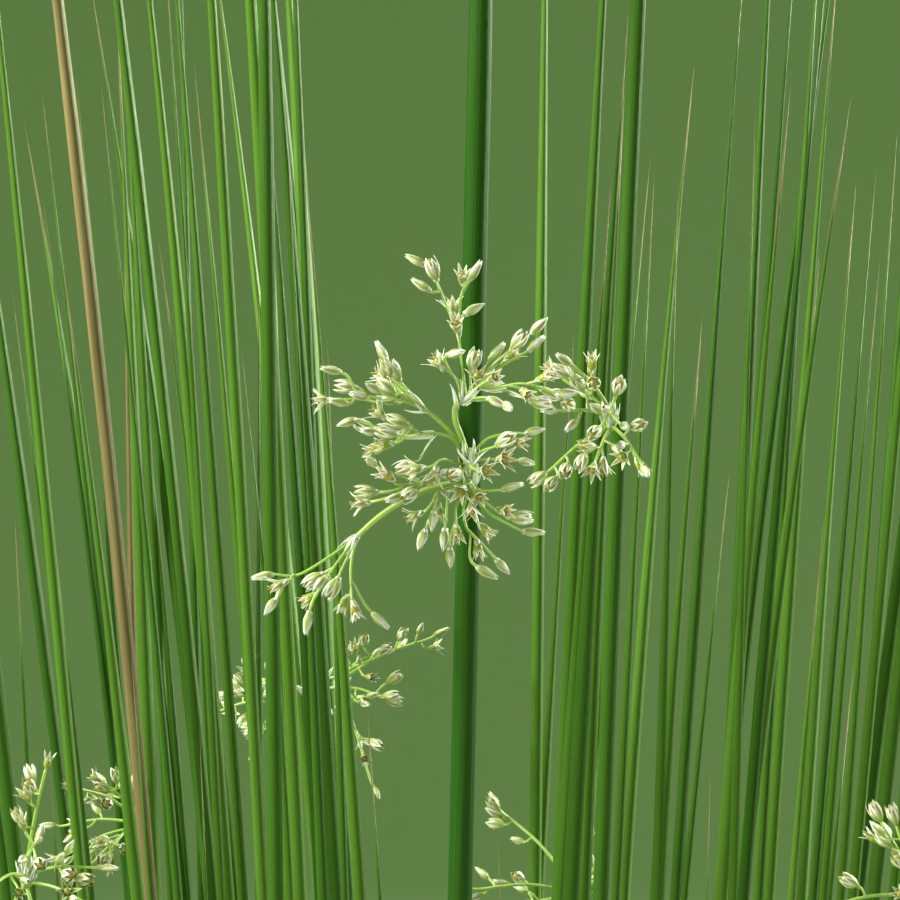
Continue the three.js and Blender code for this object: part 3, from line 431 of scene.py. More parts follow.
# The first spray, ray by ray. Places are tenths of a millimetre from the stem's axis where the spray breaks
# out: right, back, up. A flower has its kind, its base, the heading of its tip in the upright plane (0 to the
# right, 90 up) and how far that tip is turned to the front. A bract runs from one place to another.
FIRST_SPRAY = [
    Plan([(-3, -24, 12), (-8, -27, 28), (-14, -31, 45), (-14, -35, 60), (-6, -38, 65)],
        bracts=[((-11, -35, 59), (-19, -52, 82)), ((-4, -39, 62), (9, -59, 80))], thickness=0.78),
    Plan([(-6, -38, 65), (-12, -42, 87), (-22, -46, 98)],
        [("open", -26, -48, 99, 128, 10), ("bud", -23, -58, 114, 15, 40)]),
    Plan([(-5, -37, 65), (-5, -44, 85), (-9, -50, 122), (-11, -54, 140)],
        [("open", -12, -60, 140, 100, 55), ("bud", -4, -50, 159, 28, 0), ("open", -16, -42, 157, 100, 0)]),
    Plan([(-11, -53, 138), (-23, -62, 166), (-33, -66, 191)],
        [("bud", -41, -72, 183, 147, 0), ("fruit", -34, -66, 194, 109, 0), ("bud", -47, -62, 211, 152, 0)]),
    Plan([(-10, -53, 136), (-9, -64, 172), (-5, -66, 187)],
        [("open", -6, -70, 190, 95, 45), ("bud", 1, -62, 195, 59, 0)]),
    Plan([(-6, -38, 63), (1, -43, 76), (6, -46, 84)],
        [("fruit", 3, -39, 99, 76, 35), ("open", 9, -50, 84, 85, 40), ("open", 22, -72, 88, 24, 60)]),
    Plan([(-4, -37, 64), (12, -44, 88), (26, -54, 104), (45, -62, 120), (64, -69, 135)],
        [("bud", 23, -46, 110, 49, 0), ("fruit", 46, -73, 121, 50, 15), ("bud", 67, -69, 138, 43, 0)]),
    Plan([(11, -43, 87), (38, -41, 105), (63, -43, 119)],
        [("open", 39, -33, 109, 34, 0), ("bud", 65, -43, 120, 43, 0)]),
    Plan([(-4, -38, 62), (11, -50, 81), (29, -59, 80), (54, -70, 84), (72, -73, 81), (92, -74, 74)],
        [("open", 56, -80, 78, -40, 50), ("open", 73, -81, 87, 22, 30), ("bud", 77, -65, 79, -29, 0),
        ("bud", 95, -74, 73, 3, 20)]),
    Plan([(12, -50, 80), (33, -48, 78), (47, -44, 75), (63, -42, 67)],
        [("fruit", 65, -42, 65, -3, 0)],
        [((44, -45, 75), (58, -54, 69))]),
    Plan([(-6, -38, 62), (10, -56, 69)],
        [("bud", 21, -69, 69, -27, 15), ("bud", 38, -70, 63, -45, 60)]),
    Plan([(-4, -23, 12), (-11, -25, 24), (-33, -28, 46), (-47, -30, 56), (-72, -32, 72)],
        [("bud", -88, -36, 109, 118, 0), ("fruit", -74, -42, 88, 119, 20), ("open", -85, -18, 86, 141, 0),
        ("fruit", -83, -60, 93, 120, 35), ("fruit", -78, -36, 72, 143, 0), ("bud", -77, -20, 64, 165, 0),
        ("bud", -96, -56, 76, 150, 45)],
        [((-47, -30, 56), (-64, -40, 76)), ((-43, -30, 53), (-67, -22, 56))], thickness=0.72),
    Plan([(-70, -32, 72), (-92, -30, 64), (-115, -28, 68), (-130, -26, 68), (-145, -25, 67)],
        [("bud", -138, -40, 97, 168, 25), ("fruit", -120, -26, 80, 173, 0), ("bud", -109, -38, 71, 172, 45),
        ("bud", -130, -36, 63, 170, 30), ("open", -148, -24, 67, 182, 0)]),
    Plan([(-7, -24, 12), (-18, -34, 26), (-36, -46, 31), (-54, -49, 32), (-84, -48, 44)],
        [("fruit", -64, -62, 40, 165, 0), ("open", -88, -48, 46, 140, 0), ("fruit", -76, -81, 29, 163, 20),
        ("open", -80, -66, 20, 185, 20), ("open", -92, -44, 14, 190, 0)],
        [((-36, -46, 31), (-69, -42, 25))], thickness=0.62),
    Plan([(-54, -49, 31), (-86, -36, 34), (-120, -32, 45)],
        [("bud", -121, -32, 46, 198, 0), ("fruit", -100, -26, 34, 161, 0), ("bud", -99, -58, 32, 173, 45)]),
    Plan([(-36, -45, 29), (-45, -49, 13), (-53, -51, 1)],
        [("fruit", -54, -51, -1, 197, 0)]),
    Plan([(-6, -26, -3), (-22, -46, 2), (-27, -58, 3), (-34, -66, 0)],
        [("open", -46, -78, -6, 187, 0), ("open", -34, -64, -5, -110, 10)]),
    Plan([(-4, -26, -12), (-33, -42, -18), (-53, -56, -22), (-76, -64, -24)],
        [("fruit", -54, -66, -28, 215, 35), ("open", -79, -66, -19, 150, 25),
        ("bud", -100, -52, -3, 139, 60), ("bud", -72, -74, -37, 193, 50), ("fruit", -97, -82, -32, 178, 0),
        ("open", -106, -58, -43, 188, 0)],
        [((-51, -54, -21), (-70, -46, -11))]),
    Plan([(-4, -24, -20), (-41, -28, -29), (-65, -31, -39), (-95, -33, -58), (-120, -34, -80)],
        thickness=0.8),
    Plan([(-119, -34, -79), (-141, -35, -96), (-182, -36, -121), (-207, -36, -121)],
        [("bud", -210, -36, -121, 190, 0), ("open", -195, -48, -128, 205, 0),
        ("bud", -207, -28, -147, 234, 0)]),
    Plan([(-119, -34, -79), (-141, -46, -108), (-162, -52, -139)],
        [("fruit", -156, -38, -120, 214, 0), ("bud", -153, -62, -123, 227, 30),
        ("open", -163, -52, -141, 214, 0), ("bud", -170, -68, -160, 260, 0)]),
    Plan([(-119, -34, -79), (-132, -24, -106), (-140, -20, -123)],
        [("fruit", -140, -20, -125, 240, 0)]),
    Plan([(-119, -34, -79), (-126, -48, -108), (-126, -54, -139)],
        [("open", -130, -46, -143, 245, 0), ("open", -124, -68, -148, 285, 0),
        ("bud", -103, -52, -162, 317, 0)]),
    Plan([(-4, -25, -23), (-32, -42, -32), (-37, -48, -42)],
        [("open", -32, -46, -44, 275, -15), ("bud", -37, -72, -52, 264, 0), ("open", -49, -52, -54, 205, 0),
        ("bud", -46, -58, -72, 250, 0), ("bud", -25, -34, -72, 264, 0)],
        [((-31, -42, -31), (-19, -52, -43))]),
    Plan([(-1, -26, -30), (-13, -40, -48), (-13, -48, -65)],
        [("open", -13, -52, -68, 280, 30), ("bud", -20, -46, -92, 273, 0)]),
    Plan([(2, -25, -32), (-5, -32, -50), (-2, -36, -71), (7, -39, -81)],
        [("open", 9, -46, -84, 280, 15), ("bud", 9, -29, -113, 331, 0), ("bud", 30, -32, -105, 312, 0)]),
    Plan([(5, -25, -32), (18, -34, -43), (30, -40, -52), (40, -44, -58)],
        [("open", 31, -50, -51, 350, 50), ("fruit", 44, -44, -60, 0, 0)]),
    Plan([(4, -25, -34), (22, -29, -55), (57, -34, -74)],
        [("bud", 59, -34, -75, 357, 0)]),
    Plan([(3, -26, -33), (6, -38, -48), (10, -46, -64)],
        [("open", 3, -58, -42, 272, 20), ("open", 11, -48, -66, 318, 0)]),
    Plan([(5, -25, -26), (16, -32, -31), (34, -40, -30)],
        [("bud", 36, -40, -30, 16, 0)]),
    Plan([(5, -24, 10), (22, -27, 26), (46, -33, 31), (59, -37, 31)],
        [("bud", 61, -37, 31, 12, 0), ("open", 44, -46, 23, 352, 25)]),
    Plan([(5, -25, 4), (15, -38, 12), (29, -50, 17)],
        [("fruit", 30, -52, 18, 30, 35)]),
    Plan([(5, -25, 0), (18, -30, 3), (30, -33, 3), (55, -34, 2)],
        [("open", 30, -42, 3, 5, 40), ("bud", 56, -34, 2, 346, 50)]),
    Plan([(2, -28, -4), (2, -46, -4), (4, -54, -6)],
        [("open", 11, -58, -9, 0, 45), ("fruit", -8, -54, -11, 200, 55), ("bud", -19, -48, -11, 190, 50)],
        [((2, -34, -5), (-11, -52, 13)), ((2, -39, -5), (22, -48, 13))], thickness=0.7),
    Plan([(2, -28, -18), (2, -44, -22)],
        [("open", -5, -50, -26, 240, 50), ("open", 8, -50, -31, 300, 60)]),
]

FIRST_SPRAY_SHIFT = Vector((-0.2, 0, 0))
FIRST_KNOT = Vector((0, -2.55, -1))
FRONT = Vector((0, -1, 0))
PLACES_PER_MM = 10


def first_spray(stem):
    centre = stem.at(stem.z + stem.head)

    def placed(place):
        return Vector(place) / PLACES_PER_MM + centre + FIRST_SPRAY_SHIFT

    rays = []
    for plan in FIRST_SPRAY:
        points = [placed(place) for place in plan.path]
        flowers = []
        for kind, x, y, z, heading, front in plan.flowers:
            right, up = polar(math.cos(math.radians(front)), math.radians(heading))
            way = Vector((right, -math.sin(math.radians(front)), up))
            flowers.append(Flower(kind, placed((x, y, z)), way))
        end, rest = sort_flowers(points, flowers)
        bracts = [tuple(map(placed, ends)) for ends in plan.bracts]
        rays.append(Ray(points, plan.thickness, end, rest, bracts))
    return Spray(centre + FIRST_KNOT, FRONT, KNOT_TALL, rays)


def turned_about(vector, axis, angle):
    return Quaternion(axis, angle) @ vector


def widest_gap(stem, centre, draw, standing):
    """The level way in which a spray has the most room, with some preference for its stem's own lean"""
    others = [other for other in standing if other is not stem]
    offset = draw(*FIRST_LOOK)
    best, most = None, -math.inf
    for i in range(DIRECTIONS):
        turn = i / DIRECTIONS * FULL_TURN + offset
        way = level(turn)
        room = room_at(centre + way * LOOK_AHEAD, others)
        room += LEAN_BIAS * math.cos(turn - stem.azimuth)
        if room > most:
            best, most = way, room
    return best


def ray_by_rule(i, knot, outward, size, draw, standing):
    """A ray with one flower, or none where stems leave no room for it"""
    turn = (i + draw(0, SPRAY_WANDER)) / SPRAY_RAYS * FULL_TURN
    spread = math.radians(draw(*SPRAY_SPREAD))
    reach = draw(*SPRAY_REACH) * size
    aside = turned_about(UP.cross(outward), outward, turn)
    way = outward * math.cos(spread) + aside * math.sin(spread)
    start = knot + UP * (START_RISE * SPRAY_TALL * math.sin(turn))
    end = start + way * reach
    middle = start.lerp(end, 0.5) + UP * (RAY_ARCH * reach)
    splay = turned_about(aside, way, draw(0, FULL_TURN))
    flower_way = (way + splay * SPLAY).normalized()
    base = end + flower_way * draw(*STALK_LENGTH)
    tip = base + flower_way * TEPAL_LENGTH
    kind = KINDS[int(draw(0, len(KINDS)))]
    flower_room = min(room_at(base, standing), room_at(tip, standing))
    ray_room = min(room_at(start.lerp(end, share), standing) for share in RAY_ROOM_SHARES)
    if flower_room < FLOWER_ROOM or ray_room < RAY_ROOM:
        return None
    return Ray([start, middle, end], RAY_THICKNESS, Flower(kind, base, flower_way), [], [])


def spray_by_rule(stem, draw, standing):
    centre = stem.at(stem.z + stem.head)
    gap = widest_gap(stem, centre, draw, standing)
    outward = gap if stem.facing is None else level(stem.facing)
    slope = abs((stem.at(centre.z + 1) - centre).dot(outward))
    off = stem.thickness(stem.head / stem.height) + FIT_GAP + KNOT_DEEP + slope * SPRAY_TALL
    knot = centre + outward * off
    rays = [ray_by_rule(i, knot, outward, stem.spray_share, draw, standing) for i in range(SPRAY_RAYS)]
    return Spray(knot, outward, SPRAY_TALL, [ray for ray in rays if ray])


FLOWERING, TUFTS, STANDING = grow_clump()
SPRAY_DRAW = Draws(SPRAY_SEED)
SPRAYS = [first_spray(FLOWERING[0])]
SPRAYS += [spray_by_rule(stem, SPRAY_DRAW, STANDING) for stem in FLOWERING[1:]]


# Camera: where the photograph's frame sees the first spray, level with it and square to the front

PIXELS = 900
PIXELS_PER_MM = 9.2
INSERTION_PIXEL = (470, 462)
CAMERA_AWAY = 420
SENSOR = 36
NEAREST_SEEN, FARTHEST_SEEN = 0.01, 100


def add_camera():
    data = bpy.data.cameras.new("camera")
    data.sensor_width = SENSOR
    data.lens = SENSOR * CAMERA_AWAY / (PIXELS / PIXELS_PER_MM)
    data.clip_start = NEAREST_SEEN
    data.clip_end = FARTHEST_SEEN
    camera = put_in_scene("camera", data)
    right = (PIXELS / 2 - INSERTION_PIXEL[0]) / PIXELS_PER_MM
    up = (INSERTION_PIXEL[1] - PIXELS / 2) / PIXELS_PER_MM
    camera.location = (FIRST_HEAD + Vector((right, -CAMERA_AWAY, up))) * MM
    camera.rotation_euler = (math.pi / 2, 0, 0)
    bpy.context.scene.camera = camera


# Shader maths

def maths(operation, swapped=False):
    """An operator of Python's that adds a Math node"""
    def apply(self, other):
        values = (other, self) if swapped else (self, other)
        return self.finish.node("Math", {"operation": operation}, dict(enumerate(values)))
    return apply


class Socket:
    """An output of a shader node that Python's operators work on"""

    def __init__(self, finish, output):
        self.finish = finish
        self.output = output

    __add__ = __radd__ = maths("ADD")
    __mul__ = __rmul__ = maths("MULTIPLY")
    __sub__ = maths("SUBTRACT")
    __rsub__ = maths("SUBTRACT", swapped=True)


class Finish:
    """A material, built up from nodes"""

    def __init__(self, name, **constants):
        self.material = bpy.data.materials.new(name)
        self.material.use_nodes = True
        self.tree = self.material.node_tree
        self.shader = self.tree.nodes["Principled BSDF"]
        for socket, value in constants.items():
            self.shader.inputs[socket.replace("_", " ").title().replace("Ior", "IOR")].default_value = value

    def node(self, kind, settings=None, sockets=None, output=0):
        """A node of that kind: its settings are set first, then the values or links of its sockets"""
        node = self.tree.nodes.new("ShaderNode" + kind)
        for setting, value in (settings or {}).items():
            if setting == "stops":
                ramp = node.color_ramp.elements
                while len(ramp) < len(value):
                    ramp.new(1)
                for element, (position, colour) in zip(ramp, value):
                    element.position = position
                    element.color = (*colour, 1)
            else:
                setattr(node, setting, value)
        for socket, value in (sockets or {}).items():
            self.plug(self._pick(node.inputs, socket), value)
        return Socket(self, self._pick(node.outputs, output))

    def _pick(self, sockets, name):
        """The socket with that name or number"""
        if isinstance(name, int):
            return sockets[name]
        return next(s for s in sockets if name in (s.identifier, s.name) and s.enabled)

    def plug(self, socket, value):
        if isinstance(value, Socket):
            self.tree.links.new(value.output, socket)
        elif isinstance(value, tuple) and len(value) == 3 and socket.type == "RGBA":
            socket.default_value = (*value, 1)
        else:
            socket.default_value = value

    def mix(self, factor, first, second):
        """The first colour where the factor is 0, the second where it is 1"""
        sockets = {"Factor_Float": factor, "A_Color": first, "B_Color": second}
        return self.node("Mix", {"data_type": "RGBA"}, sockets, "Result_Color")

    def smooth(self, value, low, high):
        """0 below low, 1 above high and a smooth step between"""
        sockets = {"Value": value, "From Min": low, "From Max": high}
        return self.node("MapRange", {"interpolation_type": "SMOOTHSTEP"}, sockets)

    def noise(self, vector, scale, detail=3, roughness=0.5, distortion=0):
        sockets = {"Vector": vector, "Scale": scale, "Detail": detail, "Roughness": roughness,
                   "Distortion": distortion}
        return self.node("TexNoise", None, sockets)

    def stretched(self, vector, scale):
        return self.node("Mapping", None, {"Vector": vector, "Scale": scale})

    def streaks(self, vector, scale, detail=2, roughness=0.6):
        """Noise with its own scale along each axis"""
        return self.noise(self.stretched(vector, scale), 1, detail, roughness)

    def coated(self, colour, *coats):
        """Lays coats over a colour. Each has its colour, the value that places it, where that value begins
        and completes the coat, and its strength where that is less than 1."""
        for coat, value, low, high, *strength in coats:
            factor = self.smooth(value, low, high)
            for part in strength:
                factor = factor * part
            colour = self.mix(factor, colour, coat)
        return colour

    def place(self):
        """Object coordinates, in metres"""
        return self.node("TexCoord", output="Object")

    def layer(self, name):
        """A vector that the mesh carries at its vertices"""
        return self.node("Attribute", {"attribute_name": name}, output="Vector")

    def parts(self, vector):
        separated = self.node("SeparateXYZ", None, {"Vector": vector})
        return [Socket(self, output) for output in separated.output.node.outputs]

    def traits(self):
        """The tint, the share to the margin or of the sheath, and the rise"""
        return self.parts(self.layer("traits"))

    def from_axis(self):
        """How far a place is from the upright axis, in metres"""
        flat = self.stretched(self.place(), (1, 1, 0))
        return self.node("VectorMath", {"operation": "LENGTH"}, {0: flat}, "Value")

    def finish(self, colour, roughness=None, height=None, distance=None):
        """Plugs in what changes over the surface; height is a relief in shares of distance, in metres"""
        self.plug(self.shader.inputs["Base Color"], colour)
        if roughness is not None:
            self.plug(self.shader.inputs["Roughness"], roughness)
        if height is not None:
            bump = self.node("Bump", None, {"Height": height, "Distance": distance})
            self.plug(self.shader.inputs["Normal"], bump)
        return self.material


# Materials. Every plant mesh carries two vectors at its vertices: around holds the cosine and sine of the
# angle round the stem and the distance along it in millimetres; traits holds a tint drawn for each stem or
# flower, a share from the middle to the margin (or of the sheath's length) and a share from base to tip.

MOUTH_SLANT = 0.035
DAMP_FROM_AXIS = (0.0765, 0.0725)
DAMP_UP_TO = (0.152, 0.137)
WET_FOOT = (0.07, 0.02)
# Distances from the axis in metres over which the floor's painted light rises from the darker grey by the pot
# to pale
FLOOR_PAINTED_LIGHT = (0.3, 2.4)
GREEN_WALL = (1.4, 3.9)


def stem_finish():
    """Ridged green above, a red-brown sheath with a slanting papery mouth below, and a withered tip"""
    finish = Finish("rush_stem", specular_ior_level=0.38, specular_tint=(0.6, 1, 0.25, 1))
    around = finish.layer("around")
    tint, sheath, rise = finish.traits()
    mouth = sheath + finish.parts(around)[0] * MOUTH_SLANT + MOUTH_SLANT
    ridges = finish.streaks(around, (9, 9, 0.02))
    fibres = finish.streaks(around, (16, 16, 0.06))
    clouds = finish.streaks(around, (0.5, 0.5, 0.02), 3)
    lit_green = finish.mix(tint, (0.018, 0.1, 0.0015), (0.125, 0.26, 0.03))
    straw = finish.coated((0.13, 0.09, 0.035), ((0.24, 0.18, 0.075), clouds, 0.3, 0.7))
    green = finish.coated(
        finish.mix(tint, (0.006, 0.05, 0.0004), (0.08, 0.19, 0.013)),
        (lit_green, ridges, 0.4, 0.7, 0.4),
        (lit_green, fibres, 0.55, 0.75, 0.3),
        ((0.09, 0.17, 0.015), clouds, 0.45, 0.75, 0.25, tint),
        (straw, rise + tint * 0.03, 0.965, 1),
        ((0.12, 0.19, 0.02), sheath, 1.5, 1, 0.6),
    )
    colour = finish.coated(
        (0.075, 0.018, 0.008),
        ((0.16, 0.1, 0.025), sheath + clouds * 0.3, 0.5, 1.15),
        ((0.22, 0.1, 0.035), ridges, 0.45, 0.6, 0.5),
        ((0.3, 0.2, 0.09), mouth, 0.95, 0.985, 0.7),
        (green, mouth, 0.985, 1),
    )
    roughness = finish.smooth(ridges, 0.3, 0.7) * 0.14 + 0.4
    return finish.finish(colour, roughness, ridges * 0.7 + fibres * 0.3, 0.00012)


def ray_finish():
    finish = Finish("rush_ray", subsurface_weight=0.35, subsurface_scale=0.0006,
                    subsurface_radius=(0.6, 1, 0.15), specular_ior_level=0.5)
    tint, _, rise = finish.traits()
    veins = finish.streaks(finish.layer("around"), (3, 3, 0.15))
    green = finish.mix(rise, (0.16, 0.33, 0.015), (0.4, 0.54, 0.13))
    green = finish.coated(green, ((0.46, 0.6, 0.14), veins, 0.4, 0.65, 0.5))
    green = finish.mix(tint * 0.25, green, (0.36, 0.42, 0.1))
    return finish.finish(green, veins * 0.2 + 0.32, veins, 0.00004)


def tepal_finish():
    """White papery margins, a yellow-green base and a greenish or brownish pink stripe in the middle"""
    finish = Finish("tepal", subsurface_weight=0.3, subsurface_scale=0.0004,
                    subsurface_radius=(1, 1, 0.7), specular_ior_level=0.4)
    tint, edge, rise = finish.traits()
    veins = finish.streaks(finish.layer("around"), (5, 5, 0.6))
    blush = finish.coated((0.34, 0.37, 0.06), ((0.38, 0.29, 0.11), tint, 0.6, 1))
    stripe = finish.coated((0.32, 0.42, 0.04), (blush, rise, 0.15, 0.5))
    middle = finish.smooth(edge + veins * 0.25, 0.75, 0.25) * finish.smooth(rise, 0.97, 0.7)
    margin = finish.coated(
        (0.38, 0.49, 0.09),
        ((0.78, 0.85, 0.66), rise, 0.05, 0.6),
        ((0.5, 0.56, 0.17), tint, 0.5, 0, 0.5),
    )
    colour = finish.mix(middle, margin, stripe)
    return finish.finish(colour, veins * 0.2 + 0.35, veins + edge * 0.5, 0.00003)


def capsule_finish():
    finish = Finish("capsule", specular_ior_level=0.5)
    tint, _, rise = finish.traits()
    mottle = finish.noise(finish.place(), 1600, 3, 0.6)
    green = finish.mix(tint, (0.22, 0.31, 0.02), (0.34, 0.33, 0.04))
    colour = finish.coated(green, ((0.31, 0.23, 0.06), rise + mottle * 0.4, 0.8, 1.5))
    return finish.finish(colour, mottle * 0.2 + 0.2, mottle, 0.00004)


def anther_finish():
    finish = Finish("anther", roughness=0.6)
    mottle = finish.noise(finish.place(), 2500, 2)
    return finish.finish(finish.mix(mottle, (0.42, 0.28, 0.11), (0.6, 0.52, 0.2)), None, mottle, 0.00003)


def bract_finish():
    """Papery bracts: green in the middle, clear white at the margins"""
    finish = Finish("bract", subsurface_weight=0.3, subsurface_scale=0.0004, subsurface_radius=(1, 1, 0.6))
    _, edge, rise = finish.traits()
    veins = finish.streaks(finish.layer("around"), (6, 6, 0.4), 2, 0.5)
    green = finish.mix(rise, (0.36, 0.48, 0.08), (0.66, 0.68, 0.38))
    colour = finish.coated(green, ((0.8, 0.84, 0.74), edge + veins * 0.2, 0.2, 0.75))
    return finish.finish(colour, veins * 0.2 + 0.35, veins, 0.00004)


def rhizome_finish():
    finish = Finish("rhizome", roughness=0.7)
    place = finish.place()
    bark = finish.noise(place, 700, 5, 0.65)
    scales = finish.noise(finish.stretched(place, (1, 1, 3)), 260, 3, 0.6)
    colour = finish.coated(
        (0.045, 0.018, 0.01),
        ((0.19, 0.1, 0.045), scales, 0.35, 0.65),
        ((0.3, 0.2, 0.1), bark, 0.55, 0.75, 0.7),
    )
    return finish.finish(colour, bark * 0.25 + 0.55, bark + scales, 0.0004)


def clay_finish():
    """Fired earthenware, paler where lime has bloomed, darker and greener where it stays damp"""
    finish = Finish("earthenware", specular_ior_level=0.3)
    place = finish.place()
    z = finish.parts(place)[2]
    grain = finish.noise(place, 1400, 4, 0.7)
    clouds = finish.noise(place, 16, 5, 0.6, 0.4)
    patches = finish.noise(place, 42, 6, 0.65, 0.3)
    rings = finish.streaks(place, (2, 2, 900), 2, 0.5)
    low = finish.smooth(z + patches * 0.05, *WET_FOOT)
    damp = finish.smooth(finish.from_axis(), *DAMP_FROM_AXIS)
    clay = finish.coated(
        (0.46, 0.185, 0.085),
        ((0.58, 0.27, 0.14), clouds, 0.35, 0.7),
        ((0.36, 0.14, 0.07), grain, 0.5, 0.75, 0.5),
        ((0.66, 0.4, 0.26), grain, 0.42, 0.3, 0.35),
        ((0.68, 0.55, 0.43), patches + clouds * 0.5, 0.72, 0.98, 0.6),
    )
    clay = finish.mix(low * 0.55, clay, (0.2, 0.12, 0.055))
    clay = finish.coated(
        clay,
        ((0.1, 0.13, 0.03), patches, 0.5, 0.68, 0.7, low),
        ((0.13, 0.065, 0.035), z + patches * 0.01, *DAMP_UP_TO, 0.75, damp),
    )
    relief = grain * 0.5 + rings * 0.35 + patches * 0.8
    return finish.finish(clay, grain * 0.14 + 0.76, relief, 0.0004)


def soil_finish():
    finish = Finish("potting_soil", roughness=0.95)
    place = finish.place()
    crumbs = finish.noise(place, 420, 6, 0.7)
    damp = finish.noise(place, 40, 4, 0.6)
    colour = finish.coated(
        (0.012, 0.007, 0.004),
        ((0.075, 0.042, 0.022), crumbs, 0.35, 0.65),
        ((0.035, 0.02, 0.011), damp, 0.4, 0.65, 0.5),
    )
    return finish.finish(colour, crumbs * 0.2 + 0.75, crumbs, 0.0016)


def crumb_finish():
    """Bark, peat and grit: each crumb has its own shade, and the palest are grit"""
    finish = Finish("soil_crumbs", roughness=0.9)
    grain = finish.noise(finish.place(), 1800, 4, 0.7)
    tint = finish.traits()[0]
    stops = [(0, (0.015, 0.008, 0.005)), (0.45, (0.07, 0.035, 0.018)), (0.8, (0.19, 0.1, 0.05)),
             (0.9, (0.26, 0.17, 0.09)), (0.95, (0.52, 0.48, 0.4))]
    colour = finish.node("ValToRGB", {"stops": stops}, {0: tint + grain * 0.12 - 0.06})
    return finish.finish(colour, grain * 0.2 + 0.7, grain, 0.0003)


def moss_finish():
    finish = Finish("moss", subsurface_weight=0.15, subsurface_scale=0.001, roughness=0.7)
    tint, _, rise = finish.traits()
    fuzz = finish.noise(finish.place(), 1500, 3)
    colour = finish.mix(rise, (0.03, 0.06, 0.008), (0.2, 0.3, 0.035))
    colour = finish.mix(tint * 0.6, colour, (0.11, 0.2, 0.02))
    return finish.finish(colour, None, fuzz, 0.0002)


def studio_finish():
    """The floor has painted shade next to the pot, where the lamps fall brightest, and is painted pale
    farther round it, where the lamps' light falls off, before it turns into the soft green of the wall
    """
    finish = Finish("studio", roughness=0.95, specular_ior_level=0.1)
    away = finish.from_axis()
    return finish.finish(finish.coated(
        # Painted shade: a darker grey next to the pot, where the lamps fall brightest
        (0.28, 0.285, 0.27),
        # Painted light: paler farther out, where the lamps' light falls off
        ((0.75, 0.77, 0.68), away, *FLOOR_PAINTED_LIGHT),
        ((0.2, 0.335, 0.11), away, *GREEN_WALL),
    ))


# Building with meshes

def new_mesh():
    mesh = bmesh.new()
    mesh.verts.layers.float_vector.new("around")
    mesh.verts.layers.float_vector.new("traits")
    return mesh


def layers(mesh):
    both = mesh.verts.layers.float_vector
    return both["around"], both["traits"]


def as_data(name, mesh):
    data = bpy.data.meshes.new(name)
    mesh.to_mesh(data)
    mesh.free()
    return data


def as_stock(mesh):
    """A mesh kept to be put into others again and again"""
    return as_data("stock", mesh)


def put(mesh, stock):
    """Adds a stock shape to a mesh, and gives its vertices"""
    before = len(mesh.verts)
    mesh.from_mesh(stock)
    mesh.verts.ensure_lookup_table()
    return mesh.verts[before:]


def clad(verts, look):
    """Gives the faces at these vertices the finish of that number"""
    for vertex in verts:
        for face in vertex.link_faces:
            face.material_index = look


def add_ball(mesh, sides, rings, look=0):
    ball = bmesh.ops.create_uvsphere(mesh, u_segments=sides, v_segments=rings, radius=1)["verts"]
    clad(ball, look)
    return ball


def put_in_scene(name, data):
    thing = bpy.data.objects.new(name, data)
    bpy.context.scene.collection.objects.link(thing)
    return thing


def as_smooth_object(name, mesh, finishes):
    data = as_data(name, mesh)
    for finish in finishes:
        data.materials.append(finish)
    data.polygons.foreach_set("use_smooth", [True] * len(data.polygons))
    return put_in_scene(name, data)


def add_piece(name, mesh, finishes, *nodes, slot):
    bmesh.ops.scale(mesh, vec=(MM, MM, MM), verts=mesh.verts)
    piece = as_smooth_object(name, mesh, finishes)
    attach(piece, "root")
    if nodes:
        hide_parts(*nodes)


NEARLY_SIDEWAYS = 0.9


def tube_stock(sides, rings, pointed, look=0):
    """A tube of radius 1 with a ring at every whole height: its foot is closed, its top closed or pointed"""
    mesh = new_mesh()
    steps = rings - 1
    bmesh.ops.create_cone(mesh, cap_ends=True, segments=sides, radius1=1, radius2=1, depth=steps)
    uprights = [edge for edge in mesh.edges if abs(edge.verts[0].co.z - edge.verts[1].co.z) > 0.5]
    if steps > 1:
        bmesh.ops.subdivide_edges(mesh, edges=uprights, cuts=steps - 1, use_grid_fill=True)
    bmesh.ops.translate(mesh, vec=(0, 0, steps / 2), verts=mesh.verts)
    around, _ = layers(mesh)
    for vertex in mesh.verts:
        vertex[around] = vertex.co
    if pointed:
        top = [vertex for vertex in mesh.verts if vertex.co.z > steps - 0.5]
        bmesh.ops.pointmerge(mesh, verts=top, merge_co=(0, 0, steps))
    clad(mesh.verts, look)
    return as_stock(mesh)


def add_tube(mesh, stock, path, radii, traits):
    """Bends a stock tube along a path. traits gives the tint, the second trait and the rise of each ring."""
    around, looks = layers(mesh)
    last = len(path) - 1
    frames, side, along = [], Vector((1, 0, 0)), 0
    for i, here in enumerate(path):
        tangent = (path[min(i + 1, last)] - path[max(i - 1, 0)]).normalized()
        if i == 0 and abs(tangent.x) > NEARLY_SIDEWAYS:
            side = UP.copy()
        side = (side - tangent * side.dot(tangent)).normalized()
        along += (here - path[i - 1]).length if i else 0
        frames.append((side, tangent.cross(side), along))
    for vertex in put(mesh, stock):
        ring = round(vertex.co.z)
        right, up, far = frames[ring]
        cos, sin, _ = vertex[around]
        vertex.co = path[ring] + (right * vertex.co.x + up * vertex.co.y) * radii[ring]
        vertex[around] = (cos, sin, far)
        vertex[looks] = traits[ring]


def smoothed(points, cuts):
    """More points on a smooth curve through a few"""
    if len(points) < 3:
        return [points[0].lerp(points[-1], k / (2 * cuts)) for k in range(2 * cuts + 1)]
    ends = [2 * points[0] - points[1], *points, 2 * points[-1] - points[-2]]
    curve = []
    for a, b, c, d in zip(ends, ends[1:], ends[2:], ends[3:]):
        curve += interpolate_bezier(b, b + (c - a) / 6, c - (d - b) / 6, c, cuts + 1)[:-1]
    return [*curve, points[-1]]


# Stems

